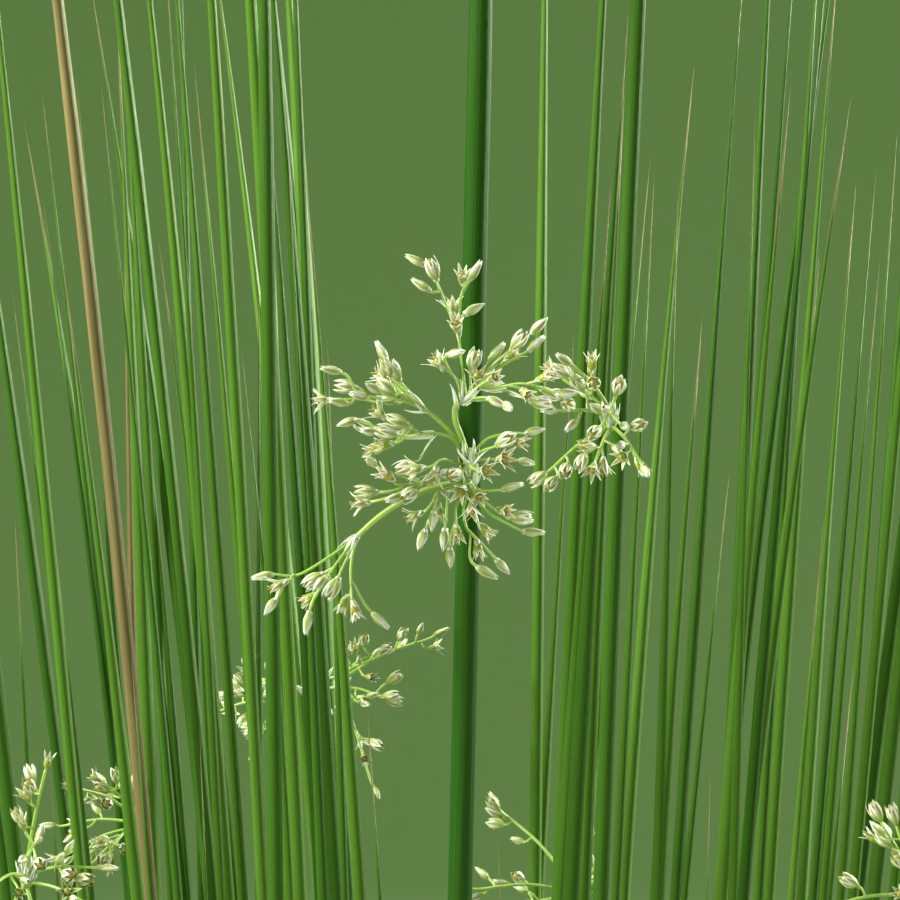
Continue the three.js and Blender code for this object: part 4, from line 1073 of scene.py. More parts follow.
WITHERED_SHARE = 0.04
STEM_DETAIL = {"first": (28, 96), "front": (20, 64), "other": (12, 26), "slender": (7, 16)}
STEM_TINTS, SLENDER_TINTS, FLOWERING_TINTS, FIRST_TINT = (0.1, 0.85), (0.1, 0.8), (0.2, 0.8), 0
SHEATH_STEPS = (0, 0.35, 0.7, 0.985, 1)
SHEATH_THINNING = 0.55
SHEATH_TRAIT_END = 2


def stem_rises(stem, rings):
    """The foot, the sheath with a small step at its mouth, and even steps to the tip"""
    share = stem.sheath / stem.height
    upper = rings - len(SHEATH_STEPS)
    return [share * step for step in SHEATH_STEPS] + [
        share + (1 - share) * k / upper for k in range(1, upper + 1)
    ]


def add_stem(mesh, stem, detail, tint, stocks, age=0):
    """A withered stem has an age of 1"""
    share = stem.sheath / stem.height
    path, radii, traits = [], [], []
    for rise in stem_rises(stem, STEM_DETAIL[detail][1]):
        husk = SHEATH_THICKNESS * (1 - SHEATH_THINNING * rise / share) if rise < share else 0
        path.append(stem.at(stem.z + rise * stem.height))
        radii.append(stem.thickness(rise) + husk)
        traits.append((tint, min(rise / share, SHEATH_TRAIT_END), rise + age))
    add_tube(mesh, stocks[detail], path, radii, traits)


RHIZOME_RINGS = 7
RHIZOME_LUMPS, RHIZOME_LUMP_GRAIN = 0.12, 2.4
RING_RELIEF = 0.05
RHIZOME_SHIFT = (0, 50)
RHIZOME_DETAIL, RHIZOME_LOOK = (20, 14), 1


def add_rhizome(mesh, tuft, stock, draw):
    """A knobbly stock with ringed scars, lying along the tuft"""
    _, looks = layers(mesh)
    shift = Vector((draw(*RHIZOME_SHIFT), draw(*RHIZOME_SHIFT), 0))
    spin = Matrix.Rotation(tuft.turn, 3, "Z")
    centre = Vector((tuft.x, tuft.y, tuft.ground))
    tint = draw()
    for vertex in put(mesh, stock):
        lump = 1 + RHIZOME_LUMPS * noise.noise(vertex.co * RHIZOME_LUMP_GRAIN + shift)
        lump += RING_RELIEF * math.sin(RHIZOME_RINGS * math.pi * vertex.co.x)
        vertex.co = spin @ (vertex.co * RHIZOME * Vector((1, lump, lump))) + centre
        vertex[looks] = (tint, 0, 0)


# More slender stems, which stand wherever the others and the sprays leave room on a rhizome

MORE_SLENDER_SEED, SHADE_SEED = 7, 12
MORE_SLENDER_PER_TUFT = 5
RHIZOME_SHARE = 0.85
SPRAY_CLEARANCE = 1
OPEN_BESIDE = 24


def flowers_of(spray):
    return [flower for ray in spray.rays for flower in [ray.end, *ray.flowers] if flower]


def clears_sprays(stem):
    places = [place for spray in SPRAYS for ray in spray.rays for place in ray.points]
    places += [flower.base + flower.way * far for spray in SPRAYS for flower in flowers_of(spray)
               for far in (0, TEPAL_LENGTH)]
    return all(room_at(place, [stem]) > SPRAY_CLEARANCE for place in places)


def leaves_view(stem):
    """Whether the stem leaves the first spray in the open, before and behind"""
    return abs(stem.at(FIRST_HEAD.z).x - FIRST_HEAD.x) > OPEN_BESIDE


def more_slender(tuft, draw, standing):
    """Fewer than asked for where there is no room"""
    stems = []
    for _ in range(MORE_SLENDER_PER_TUFT * GROWTH_TRIES):
        x, y = polar(RHIZOME_SHARE * math.sqrt(draw()), draw(0, FULL_TURN))
        stem = draw_slender(tuft.place(RHIZOME.x * x, RHIZOME.y * y), draw)
        clear = stands_clear(stem, SLENDER_CLEARANCE, standing) and clears_sprays(stem)
        if clear and leaves_view(stem):
            stems.append(stem)
            standing.append(stem)
        if len(stems) == MORE_SLENDER_PER_TUFT:
            break
    return stems


def build_stems(stem_look, rhizome_look):
    stocks = {kind: tube_stock(sides, rings, True) for kind, (sides, rings) in STEM_DETAIL.items()}
    ball = new_mesh()
    add_ball(ball, *RHIZOME_DETAIL, RHIZOME_LOOK)
    bmesh.ops.rotate(ball, matrix=Matrix.Rotation(math.pi / 2, 3, "Y"), verts=ball.verts)
    ball = as_stock(ball)
    draw, shade = Draws(MORE_SLENDER_SEED), Draws(SHADE_SEED)
    standing = list(STANDING)
    for i, tuft in enumerate(TUFTS, 1):
        mesh = new_mesh()
        for stem in tuft.stems:
            add_stem(mesh, stem, "other", shade(*STEM_TINTS), stocks, shade() < WITHERED_SHARE)
        for stem in tuft.slender + more_slender(tuft, draw, standing):
            add_stem(mesh, stem, "slender", shade(*SLENDER_TINTS), stocks, shade() < WITHERED_SHARE)
        add_rhizome(mesh, tuft, ball, draw)
        add_piece(f"barren_tuft_{i:02d}", mesh, [stem_look, rhizome_look], f"tuft_{i:02d}", slot="stem")
    for i, stem in enumerate(FLOWERING, 1):
        mesh = new_mesh()
        detail = "first" if i == 1 else "front" if i <= len(FRONT_STEMS) else "other"
        tint = FIRST_TINT if i == 1 else shade(*FLOWERING_TINTS)
        add_stem(mesh, stem, detail, tint, stocks)
        add_piece(f"green_stem_{i:02d}", mesh, [stem_look], f"flowering_stem_{i:02d}", slot="stem")


# Flowers. A stock flower stands on its base with its axis up. A tepal's form gives, at a share t of its
# length: how far its middle is from the axis, its height, half its width and the radius it is curved to.

RAY_LOOK, TEPAL_LOOK, CAPSULE_LOOK, ANTHER_LOOK, BRACT_LOOK = range(5)
FLOWER_FOOT = 0.14
CAPSULE_FOOT = 0.12
LANCE_WIDEST, LANCE_FOOT, LANCE_POINT_POWER = 0.42, 0.55, 1.4
BUD_CLOSING, BUD_SWELL_POWER, BUD_WIDTH = 0.8, 0.756, 1.12
BUD_POINT, BUD_POINT_POWER = 0.34, 0.8
TOOTH_FROM, TOOTH_PARTING, TOOTH_GROWTH, TOOTH_WIDTH, TOOTH_CURL = 0.68, 0.15, 1.05, 0.6, 0.42
FRUIT_TURN, FRUIT_SWELL_POWER, FRUIT_WIDTH, FRUIT_CURL = 0.78 * math.pi, 0.8, 0.52, 0.45
OPEN_REACH, OPEN_BEND_OUT, OPEN_BEND_UP, OPEN_WIDTH, OPEN_CURL = 0.92, 0.45, 0.25, 0.36, 0.5
PARTING_SPREAD, PARTING_RISE, PARTING_WIDTH = 0.55, 1.15, 0.85
BRACTEOLE_SWELL, BRACTEOLE_TURN, BRACTEOLE_LENGTH, BRACTEOLE_SINK = 0.34, 0.6 * math.pi, 1.05, 0.1
BRACTEOLE_WIDTH, BRACTEOLE_LANCE, BRACTEOLE_CURL = 0.42, (0.3, 0.8), 0.4
BRACT_SWELL, BRACT_WIDTH, BRACT_LANCE, BRACT_CURL = 0.07, 0.16, (0.28, 0.75), 0.2


def lance(t, widest=LANCE_WIDEST, foot=LANCE_FOOT):
    """Half the width of a narrow pointed leaf, as a share of its greatest"""
    rise = foot + (1 - foot) * math.sin(math.pi / 2 * min(t / widest, 1))
    return rise * (1 - max(0, (t - widest) / (1 - widest)) ** LANCE_POINT_POWER)


def bud_tepal(t):
    swell = (BUD_RADIUS - FLOWER_FOOT) * math.sin(math.pi * t ** BUD_SWELL_POWER)
    out = FLOWER_FOOT * (1 - BUD_CLOSING * t) + swell
    point = min(1, (1 - t) / BUD_POINT) ** BUD_POINT_POWER
    return out, BUD_LENGTH * t, BUD_WIDTH * out * point, out


def toothed_tepal(t):
    """A bud about to open: only its tips have parted"""
    out, up, _, _ = bud_tepal(t)
    parting = TOOTH_PARTING * max(0, (t - TOOTH_FROM) / (1 - TOOTH_FROM))
    return out + parting, up * TOOTH_GROWTH, TOOTH_WIDTH * lance(t), max(out, TOOTH_CURL)


def fruit_tepal(t):
    out = FLOWER_FOOT + (FRUIT_RADIUS - FLOWER_FOOT) * math.sin(FRUIT_TURN * t ** FRUIT_SWELL_POWER)
    return out, FRUIT_LENGTH * t, FRUIT_WIDTH * lance(t), max(out, FRUIT_CURL)


def open_tepal(t):
    out, up = polar(TEPAL_LENGTH, math.radians(90 - TEPAL_SPREAD))
    out = FLOWER_FOOT + (out - FLOWER_FOOT) * (t - OPEN_BEND_OUT * t * (1 - t)) * OPEN_REACH
    return out, up * (t + OPEN_BEND_UP * t * (1 - t)), OPEN_WIDTH * lance(t), OPEN_CURL


def parting_tepal(t):
    """An open flower's tepal before it has spread all the way"""
    out, up, half, curl = open_tepal(t)
    out = FLOWER_FOOT + (out - FLOWER_FOOT) * PARTING_SPREAD
    return out, up * PARTING_RISE, half * PARTING_WIDTH, curl


def bracteole(t):
    out = FLOWER_FOOT + BRACTEOLE_SWELL * math.sin(BRACTEOLE_TURN * t)
    half = BRACTEOLE_WIDTH * lance(t, *BRACTEOLE_LANCE)
    return out, BRACTEOLE_LENGTH * t - BRACTEOLE_SINK, half, BRACTEOLE_CURL


def bract_leaf(t):
    return BRACT_SWELL * math.sin(math.pi * t), t, BRACT_WIDTH * lance(t, *BRACT_LANCE), BRACT_CURL


LEAF_THICKNESS, BRACT_THICKNESS = 0.035, 0.012
OUTER_TURNS, INNER_TURNS = (0, 120, 240), (60, 180, 300)
STIGMA_TURNS, BRACTEOLE_TURNS = (30, 150, 270), (40, 210)
INNER_SIZE = 0.92


def add_leaf(mesh, form, turn, look, grid, size=1.0, thickness=LEAF_THICKNESS):
    """One tepal or bract: a grid bent to its form, then given its thickness"""
    around, looks = layers(mesh)
    across, along = grid
    leaf = bmesh.ops.create_grid(mesh, x_segments=across, y_segments=along, size=0.5)["verts"]
    spin = Matrix.Rotation(math.radians(turn), 3, "Z")
    length = form(1)[1]
    for vertex in leaf:
        side, t = 2 * vertex.co.x, vertex.co.y + 0.5
        out, up, half, curl = form(t)
        angle = side * half / curl
        place = Vector((out - curl * (1 - math.cos(angle)), curl * math.sin(angle), up))
        vertex.co = spin @ place * size
        vertex[around] = (side, turn, t * length)
        vertex[looks] = (0, abs(side), t)
    tip = [vertex for vertex in leaf if vertex[looks].z > ALMOST]
    centre = sum((vertex.co for vertex in tip), Vector()) / len(tip)
    bmesh.ops.pointmerge(mesh, verts=tip, merge_co=centre)
    left = [vertex for vertex in leaf if vertex.is_valid]
    clad(left, look)
    if thickness:
        faces = list({face for vertex in left for face in vertex.link_faces})
        bmesh.ops.recalc_face_normals(mesh, faces=faces)
        bmesh.ops.solidify(mesh, geom=faces, thickness=thickness)


CAPSULES = {"toothed": (0.44, 1.8), "fruit": (0.7, 2.1), "open": (0.56, 1.5), "parting": (0.56, 1.5)}
CAPSULE_DETAIL = {True: (12, 8), False: (6, 4)}
LOBES, LOBE_RELIEF = 3, 0.07
CAPSULE_FOOT_WIDTH, CAPSULE_SPREAD = 0.93, 0.16
BEAK = 0.16


def add_capsule(mesh, radius, height, detail):
    """The seed capsule: three lobes, widest above its middle, with a short beak"""
    _, looks = layers(mesh)
    for vertex in add_ball(mesh, *detail, CAPSULE_LOOK):
        x, y, z = vertex.co
        wide = radius * (CAPSULE_FOOT_WIDTH + CAPSULE_SPREAD * z)
        wide *= 1 + LOBE_RELIEF * math.cos(LOBES * math.atan2(y, x))
        rise = (z + 1) / 2
        beak = BEAK * height if z > ALMOST else 0
        vertex.co = (x * wide, y * wide, CAPSULE_FOOT + rise * height + beak)
        vertex[looks] = (0, 0, rise)


ANTHER_SIZE, ANTHER_DETAIL = (0.09, 0.11, 0.34), (6, 4)
ANTHER_LEAN, ANTHER_ASIDE = 0.35, 8
ANTHER_OUT, ANTHER_UP = 0.58, 1.25


def add_anthers(mesh):
    """Three stamens, opposite the outer tepals"""
    for turn in OUTER_TURNS:
        anther = add_ball(mesh, *ANTHER_DETAIL, ANTHER_LOOK)
        spin = Matrix.Rotation(math.radians(turn + ANTHER_ASIDE), 3, "Z")
        bmesh.ops.scale(mesh, vec=ANTHER_SIZE, verts=anther)
        bmesh.ops.rotate(mesh, matrix=Matrix.Rotation(ANTHER_LEAN, 3, "Y"), verts=anther)
        bmesh.ops.translate(mesh, vec=(ANTHER_OUT, 0, ANTHER_UP), verts=anther)
        bmesh.ops.rotate(mesh, matrix=spin, verts=anther)


STIGMA_FOOT = 1.5
STIGMA_RADII = (0.07, 0.06, 0.055, 0.05, 0.02)
STIGMA_STEP = Vector((0.14, 0.13, 0.2))
STIGMA_CURL = 1.6


def add_stigmas(mesh, thread):
    """Three threads that curl away from the capsule's beak"""
    rings = len(STIGMA_RADII)
    for turn in STIGMA_TURNS:
        way = level(math.radians(turn))
        aside = UP.cross(way)
        path = []
        for k in range(rings):
            curl = aside * STIGMA_STEP.y * math.sin(STIGMA_CURL * k)
            path.append(UP * (STIGMA_FOOT + STIGMA_STEP.z * k) + way * STIGMA_STEP.x * k + curl)
        add_tube(mesh, thread, path, STIGMA_RADII, [(0, 0, 0)] * rings)


FORMS = {"bud": bud_tepal, "toothed": toothed_tepal, "fruit": fruit_tepal, "open": open_tepal,
         "parting": parting_tepal}
LEAF_GRID = {True: (4, 7), False: (2, 4)}
BRACTEOLE_GRID = (3, 4)
BRACT_GRID = (4, 8)


def flower_stock(kind, fine, thread):
    mesh = new_mesh()
    opened = kind in ("open", "parting")
    if fine and opened:
        add_stigmas(mesh, thread)
    tepals = [(turn, 1) for turn in OUTER_TURNS]
    if fine or kind != "bud":
        tepals += [(turn, INNER_SIZE) for turn in INNER_TURNS]
    for turn, size in tepals:
        add_leaf(mesh, FORMS[kind], turn, TEPAL_LOOK, LEAF_GRID[fine], size, LEAF_THICKNESS * fine)
    for turn in BRACTEOLE_TURNS if fine else ():
        add_leaf(mesh, bracteole, turn, BRACT_LOOK, BRACTEOLE_GRID)
    if kind in CAPSULES:
        add_capsule(mesh, *CAPSULES[kind], CAPSULE_DETAIL[fine])
    if fine and opened:
        add_anthers(mesh)
    return as_stock(mesh)


def put_turned(mesh, stock, base, way, roll, size, tint, margin=1.0):
    """Adds a stock flower or bract that stands on base and points along way; margin is its margin's width"""
    _, looks = layers(mesh)
    turn = UP.rotation_difference(way).to_matrix() @ Matrix.Rotation(roll, 3, "Z")
    for vertex in put(mesh, stock):
        vertex.co = base + turn @ (vertex.co * size)
        _, edge, rise = vertex[looks]
        vertex[looks] = (tint, edge * margin, rise)


# Sprays

FINE_RAY = 0.29
FINE_RAY_GROWTH = 2
RAY_FOOT, RAY_TAPER = 1.15, 0.35
RAY_CUTS, RAY_SIDES, SHORTEST_END = 5, 9, 0.1
STALK_RADIUS, STALK_GROWTH = 0.13, 0.35
STALK_RINGS, STALK_SIDES = 7, 6
STALK_START_PULL, STALK_END_PULL = 0.35, 0.4
STALK_PALENESS = 0.6
STALK_BRACTS = (0.9, 1.5)
BETWEEN = {"bud": "toothed", "open": "parting"}
BETWEEN_SHARE = 0.5
OPEN_MARGIN = 0.74
FLOWER_SIZES = (0.94, 1.06)


def bent(start, end, way):
    """A stalk's path: it leaves its ray and turns into the flower's own direction"""
    inner = start.lerp(end, STALK_START_PULL)
    outer = end - way * (STALK_END_PULL * (end - start).length)
    return interpolate_bezier(start, inner, outer, end, STALK_RINGS)


def add_ray(mesh, ray, stocks, tint):
    path = [*ray.points]
    if ray.end and (ray.end.base - path[-1]).length > SHORTEST_END:
        path.append(ray.end.base)
    path = smoothed(path, RAY_CUTS)
    if len(path) not in stocks["rays"]:
        stocks["rays"][len(path)] = tube_stock(RAY_SIDES, len(path), False)
    radius = (FINE_RAY + (ray.thickness - THINNEST_RAY) * FINE_RAY_GROWTH) / 2
    shares = [k / (len(path) - 1) for k in range(len(path))]
    radii = [radius * (RAY_FOOT - RAY_TAPER * share) for share in shares]
    add_tube(mesh, stocks["rays"][len(path)], path, radii, [(tint, 0, share) for share in shares])


def add_scale(mesh, stocks, start, way, sizes, draw):
    put_turned(mesh, stocks["bract"], start, way, draw(0, FULL_TURN), draw(*sizes), draw())


def add_flower(mesh, flower, stocks, fine, draw):
    if flower.start:
        path = bent(flower.start, flower.base, flower.way)
        shares = [k / (STALK_RINGS - 1) for k in range(STALK_RINGS)]
        radii = [STALK_RADIUS * (1 + STALK_GROWTH * share) for share in shares]
        traits = [(draw(), 0, STALK_PALENESS + (1 - STALK_PALENESS) * share) for share in shares]
        add_tube(mesh, stocks["stalk"], path, radii, traits)
        if fine:
            add_scale(mesh, stocks, flower.start, (path[1] - path[0]).normalized(), STALK_BRACTS, draw)
    between = BETWEEN.get(flower.kind) if draw() < BETWEEN_SHARE else None
    stock = stocks[between or flower.kind, fine]
    margin = OPEN_MARGIN if flower.kind == "open" else 1
    roll, size = draw(0, FULL_TURN), draw(*FLOWER_SIZES)
    put_turned(mesh, stock, flower.base, flower.way, roll, size, draw(), margin)


EXTRA_FLOWERS = 4
EXTRA_ALONG = (0.4, 0.95)
EXTRA_LEAN = (0.5, 1.2)
EXTRA_LIFT = 0.2
EXTRA_REACH = (0.9, 2.4)
EXTRA_APART = 1.3


def somewhere_aside(way, draw):
    return turned_about(way.orthogonal().normalized(), way, draw(0, FULL_TURN))


def extra_flowers(spray, draw, standing):
    """More flowers along the rays, where there is room for them"""
    taken = [flower.base + flower.way for flower in flowers_of(spray)]
    for ray in spray.rays:
        way = (ray.points[-1] - ray.points[0]).normalized()
        for _ in range(EXTRA_FLOWERS):
            start = place_along(ray.points, length_of(ray.points) * draw(*EXTRA_ALONG))
            aside = somewhere_aside(way, draw)
            flower_way = (way + aside * draw(*EXTRA_LEAN) + UP * EXTRA_LIFT).normalized()
            base = start + (way * 0.5 + aside).normalized() * draw(*EXTRA_REACH)
            kind = KINDS[int(draw(0, len(KINDS)))]
            centre = base + flower_way
            tip = base + flower_way * TEPAL_LENGTH
            if min((centre - other).length for other in taken) < EXTRA_APART:
                continue
            if min(room_at(base, standing), room_at(tip, standing)) < FLOWER_ROOM:
                continue
            taken.append(centre)
            ray.flowers.append(Flower(kind, base, flower_way, start))


KNOT_SCALES = 26
KNOT_SIZE = 0.86
KNOT_RELIEF, KNOT_RINGS = 0.07, 9
KNOT_TINTS = (0.3, 0.7)
SCALE_SIDES = (-95, 95)
SCALE_HEIGHTS = (-0.8, 0.55)
SCALE_LEAN, SCALE_LEAN_DOWN = (0.1, 0.35), 0.4
SCALE_TWIST = (-0.3, 0.3)
SCALE_SIZES = (1.2, 2.2)


def add_knot(mesh, spray, stocks, draw):
    """Where the rays leave the stem: a swelling wrapped in overlapping scales"""
    _, looks = layers(mesh)
    turn = Matrix.Rotation(math.atan2(spray.outward.y, spray.outward.x) + math.pi / 2, 3, "Z")
    size = Vector((KNOT_ACROSS, KNOT_DEEP, spray.tall)) * KNOT_SIZE
    for vertex in put(mesh, stocks["ball"]):
        x, y, z = vertex.co
        lump = 1 + KNOT_RELIEF * math.sin(KNOT_RINGS * z + 3 * math.atan2(y, x))
        vertex.co = turn @ (Vector((x * lump, y * lump, z)) * size) + spray.knot
        vertex[looks] = (draw(*KNOT_TINTS), 0, (z + 1) / 2)
    aside = UP.cross(spray.outward)
    for _ in range(KNOT_SCALES):
        ahead, beside = polar(1, math.radians(draw(*SCALE_SIDES)))
        way = spray.outward * ahead + aside * beside
        height = draw(*SCALE_HEIGHTS)
        out = KNOT_ACROSS * KNOT_SIZE * math.sqrt(1 - (height / KNOT_SIZE) ** 2)
        start = spray.knot + way * out + UP * (height * spray.tall)
        tilt = (UP + way * (draw(*SCALE_LEAN) - SCALE_LEAN_DOWN * height)).normalized()
        facing = math.atan2(way.y, way.x) + draw(*SCALE_TWIST)
        put_turned(mesh, stocks["bract"], start, tilt, facing, draw(*SCALE_SIZES), draw())


NODE_SCALES = 3
NODE_SCALE_LEAN = (0.08, 0.3)
NODE_SCALE_SIZES = (1.5, 3.1)
KNOT_REACH = 3.5


def add_node_scales(mesh, spray, ray, stocks, draw):
    """Narrow papery scales where a ray parts from another"""
    start = ray.points[0]
    if (start - spray.knot).length < KNOT_REACH:
        return
    way = (ray.points[1] - start).normalized()
    for _ in range(NODE_SCALES):
        tilt = (way + somewhere_aside(way, draw) * draw(*NODE_SCALE_LEAN)).normalized()
        add_scale(mesh, stocks, start, tilt, NODE_SCALE_SIZES, draw)


SPRAY_DETAIL_SEED = 31
THREAD_SIDES = 4
BRACT_ROLLS = (0, 6)
BRACT_GROWTH = 1.1
KNOT_DETAIL = (16, 14)


def build_sprays(*looks):
    """looks are the finishes in the order of the names that end in _LOOK"""
    thread = tube_stock(THREAD_SIDES, len(STIGMA_RADII), True, ANTHER_LOOK)
    leaf, ball = new_mesh(), new_mesh()
    add_leaf(leaf, bract_leaf, 0, BRACT_LOOK, BRACT_GRID, thickness=BRACT_THICKNESS)
    add_ball(ball, *KNOT_DETAIL)
    stocks = {
        "rays": {},
        "stalk": tube_stock(STALK_SIDES, STALK_RINGS, False),
        "bract": as_stock(leaf),
        "ball": as_stock(ball),
    }
    for kind in FORMS:
        for fine in (True, False):
            stocks[kind, fine] = flower_stock(kind, fine, thread)
    draw = Draws(SPRAY_DETAIL_SEED)
    for i, spray in enumerate(SPRAYS, 1):
        first = i == 1
        if not first:
            extra_flowers(spray, draw, STANDING)
        mesh = new_mesh()
        for ray in spray.rays:
            if first:
                add_node_scales(mesh, spray, ray, stocks, draw)
            add_ray(mesh, ray, stocks, draw())
            for flower in ([ray.end] if ray.end else []) + ray.flowers:
                add_flower(mesh, flower, stocks, i <= 2, draw)
            for start, end in ray.bracts:
                reach = end - start
                roll, size = draw(*BRACT_ROLLS), reach.length * BRACT_GROWTH
                put_turned(mesh, stocks["bract"], start, reach.normalized(), roll, size, draw())
        add_knot(mesh, spray, stocks, draw)
        add_piece(f"spray_{i:02d}", mesh, looks, f"flower_head_{i:02d}", slot="flower")


# Pot and soil

MERGE_DISTANCE = 0.001
POT_STEPS = 144
LONGEST_STRAIGHT = 4
ROUNDING = 4
POT_ROUNDINGS = (3, 1.2, 2.2, 3, 3, 4)
WOBBLE, WOBBLE_GRAIN = 0.35, Vector((0.02, 0.02, 0.05))
TURNING, TURNING_GRAIN = 0.12, 1.3
STEADY_FOOT, STEADY_FADE = 3, 10


def spin_profile(mesh, profile, steps):
    """Turns an outline of (radius, height) places about the upright axis and closes it at the axis"""
    verts = [mesh.verts.new((radius, 0, height)) for radius, height in profile]
    edges = [mesh.edges.new(pair) for pair in zip(verts, verts[1:])]
    bmesh.ops.spin(mesh, geom=[*verts, *edges], cent=(0, 0, 0), axis=(0, 0, 1), angle=FULL_TURN,
                   steps=steps, use_merge=True)
    bmesh.ops.remove_doubles(mesh, verts=mesh.verts, dist=MERGE_DISTANCE)
    bmesh.ops.recalc_face_normals(mesh, faces=mesh.faces)


def rounded(profile, corners):
    """An outline with arcs in place of its inner corners: corners gives how far from each the arc starts"""
    profile = [Vector(place) for place in profile]
    points = [profile[0]]
    for before, here, after, cut in zip(profile, profile[1:], profile[2:], corners):
        start = here + (before - here).normalized() * cut
        end = here + (after - here).normalized() * cut
        for k in range(ROUNDING + 1):
            t = k / ROUNDING
            points.append(start * (1 - t)**2 + here * (2 * t * (1 - t)) + end * t * t)
    return [*points, profile[-1]]


def divided(profile, longest):
    """The same outline with its long straights cut into shorter ones"""
    points = [profile[0]]
    for before, after in zip(profile, profile[1:]):
        pieces = max(1, math.ceil(math.dist(before, after) / longest))
        for k in range(1, pieces + 1):
            points.append(before.lerp(after, k / pieces))
    return points


def build_pot(look):
    rim_foot = POT_HEIGHT - RIM_HEIGHT
    profile = rounded([
        (0, 0),
        (POT_BASE_RADIUS, 0),
        (outer_radius(rim_foot), rim_foot),
        (outer_radius(rim_foot) + RIM_OVERHANG, rim_foot),
        (POT_TOP_RADIUS + RIM_OVERHANG, POT_HEIGHT),
        (inner_radius(POT_HEIGHT), POT_HEIGHT),
        (inner_radius(POT_FLOOR), POT_FLOOR),
        (0, POT_FLOOR),
    ], POT_ROUNDINGS)
    mesh = new_mesh()
    spin_profile(mesh, divided(profile, LONGEST_STRAIGHT), POT_STEPS)
    for vertex in mesh.verts:
        x, y, z = vertex.co
        radius = math.hypot(x, y)
        if radius > 1 and z > STEADY_FOOT:
            wobble = noise.noise(vertex.co * WOBBLE_GRAIN) * WOBBLE
            turning = TURNING * math.sin(z * TURNING_GRAIN) * min(1, (z - STEADY_FOOT) / STEADY_FADE)
            grow = 1 + (wobble + turning) / radius
            vertex.co = (x * grow, y * grow, z)
    add_piece("clay_pot", mesh, [look], "pot", slot="clay")


SOIL_STEPS, SOIL_RINGS = 120, 34
SOIL_RELIEF, SOIL_FADE = 1.5, 6
SOIL_LUMPS = ((1, 0.11, 3), (0.5, 0.35, 9))
SOIL_FOOT_BEVEL = 4
JUST_ABOVE = 0.001


def soil_top(x, y):
    """The soil's height there, with its lumps: they fade at the pot's wall"""
    radius = math.hypot(x, y)
    lump = sum(high * noise.noise(Vector((x * grain, y * grain, shift))) for high, grain, shift in SOIL_LUMPS)
    return soil_height(radius) + SOIL_RELIEF * lump * min(1, (SOIL_RADIUS - radius) / SOIL_FADE)


def build_soil(look):
    foot = POT_FLOOR + FIT_GAP
    floor_radius = inner_radius(POT_FLOOR) - FIT_GAP
    rings = [SOIL_RADIUS * (1 - k / SOIL_RINGS) for k in range(SOIL_RINGS + 1)]
    profile = [(0, foot), (floor_radius - SOIL_FOOT_BEVEL, foot), (floor_radius, foot + SOIL_FOOT_BEVEL)]
    profile += [(radius, soil_height(radius)) for radius in rings]
    mesh = new_mesh()
    spin_profile(mesh, profile, SOIL_STEPS)
    for vertex in mesh.verts:
        x, y, z = vertex.co
        if z > SOIL_EDGE + JUST_ABOVE:
            vertex.co.z = soil_top(x, y)
    add_piece("potting_soil", mesh, [look], "soil", slot="soil")


CRUMBS, CRUMB_SEED = 620, 90
CRUMB_MARGIN, CRUMB_CLEARANCE = 3, 3
CRUMB_SMALLEST, CRUMB_GROWTH = 0.6, 2.2
CRUMB_LONG, CRUMB_FLAT, CRUMB_TILT = (1, 1.7), (0.45, 0.8), (-0.4, 0.4)
CRUMB_LUMPS, CRUMB_GRAIN, CRUMB_SHIFT = 0.5, 1.4, (0, 99)
CRUMB_TURNS, CRUMB_LIFT, CRUMB_DETAIL = (0, 6.28), 0.15, 2


def ico_stock(fineness):
    mesh = new_mesh()
    bmesh.ops.create_icosphere(mesh, subdivisions=fineness, radius=1)
    return as_stock(mesh)


def near_stem(x, y, room):
    return any(math.hypot(stem.x - x, stem.y - y) < room for stem in STANDING)


def build_crumbs(look):
    draw = Draws(CRUMB_SEED)
    stock = ico_stock(CRUMB_DETAIL)
    mesh = new_mesh()
    _, looks = layers(mesh)
    for _ in range(CRUMBS):
        x, y = polar((SOIL_RADIUS - CRUMB_MARGIN) * math.sqrt(draw()), draw(0, FULL_TURN))
        size = CRUMB_SMALLEST + CRUMB_GROWTH * draw() ** 3
        form = Vector((draw(*CRUMB_LONG), 1, draw(*CRUMB_FLAT))) * size
        spin = Matrix.Rotation(draw(*CRUMB_TURNS), 3, "Z") @ Matrix.Rotation(draw(*CRUMB_TILT), 3, "X")
        shift = Vector((draw(*CRUMB_SHIFT), draw(*CRUMB_SHIFT), 0))
        tint = draw()
        if near_stem(x, y, CRUMB_CLEARANCE + size):
            continue
        centre = Vector((x, y, soil_top(x, y) + size * CRUMB_LIFT))
        for vertex in put(mesh, stock):
            lump = 1 + CRUMB_LUMPS * noise.noise(vertex.co * CRUMB_GRAIN + shift)
            vertex.co = centre + spin @ (vertex.co * form * lump)
            vertex[looks] = (tint, 0, 0)
    add_piece("soil_crumbs", mesh, [look], slot="soil")


MOSS_CUSHIONS, MOSS_SEED = 12, 64
MOSS_FROM, MOSS_MARGIN = 48, 9
MOSS_SIZES = (3.5, 8)
MOSS_MEAN_SQUARE = 34
MOSS_SHOOTS, SHOOT_SIDES, MOSS_DETAIL = 620, 3, 3
MOSS_FLATNESS, MOSS_SINK = 0.36, 0.4
MOSS_LUMPS, MOSS_GRAIN = 0.25, 1.5
MOSS_RISE, MOSS_TOP_RISE = 0.15, 0.2
SHOOT_SPREAD, SHOOT_FOOT = 0.97, 0.93
SHOOT_LENGTHS, SHOOT_RADII = (0.8, 1.7), (0.3, 0.26, 0.02)
SHOOT_LEAN, SHOOT_WANDER, SHOOT_BEND = 0.7, (-0.4, 0.4), 0.1
SHOOT_TINT, SHOOT_TINTS = 0.6, (0, 0.4)


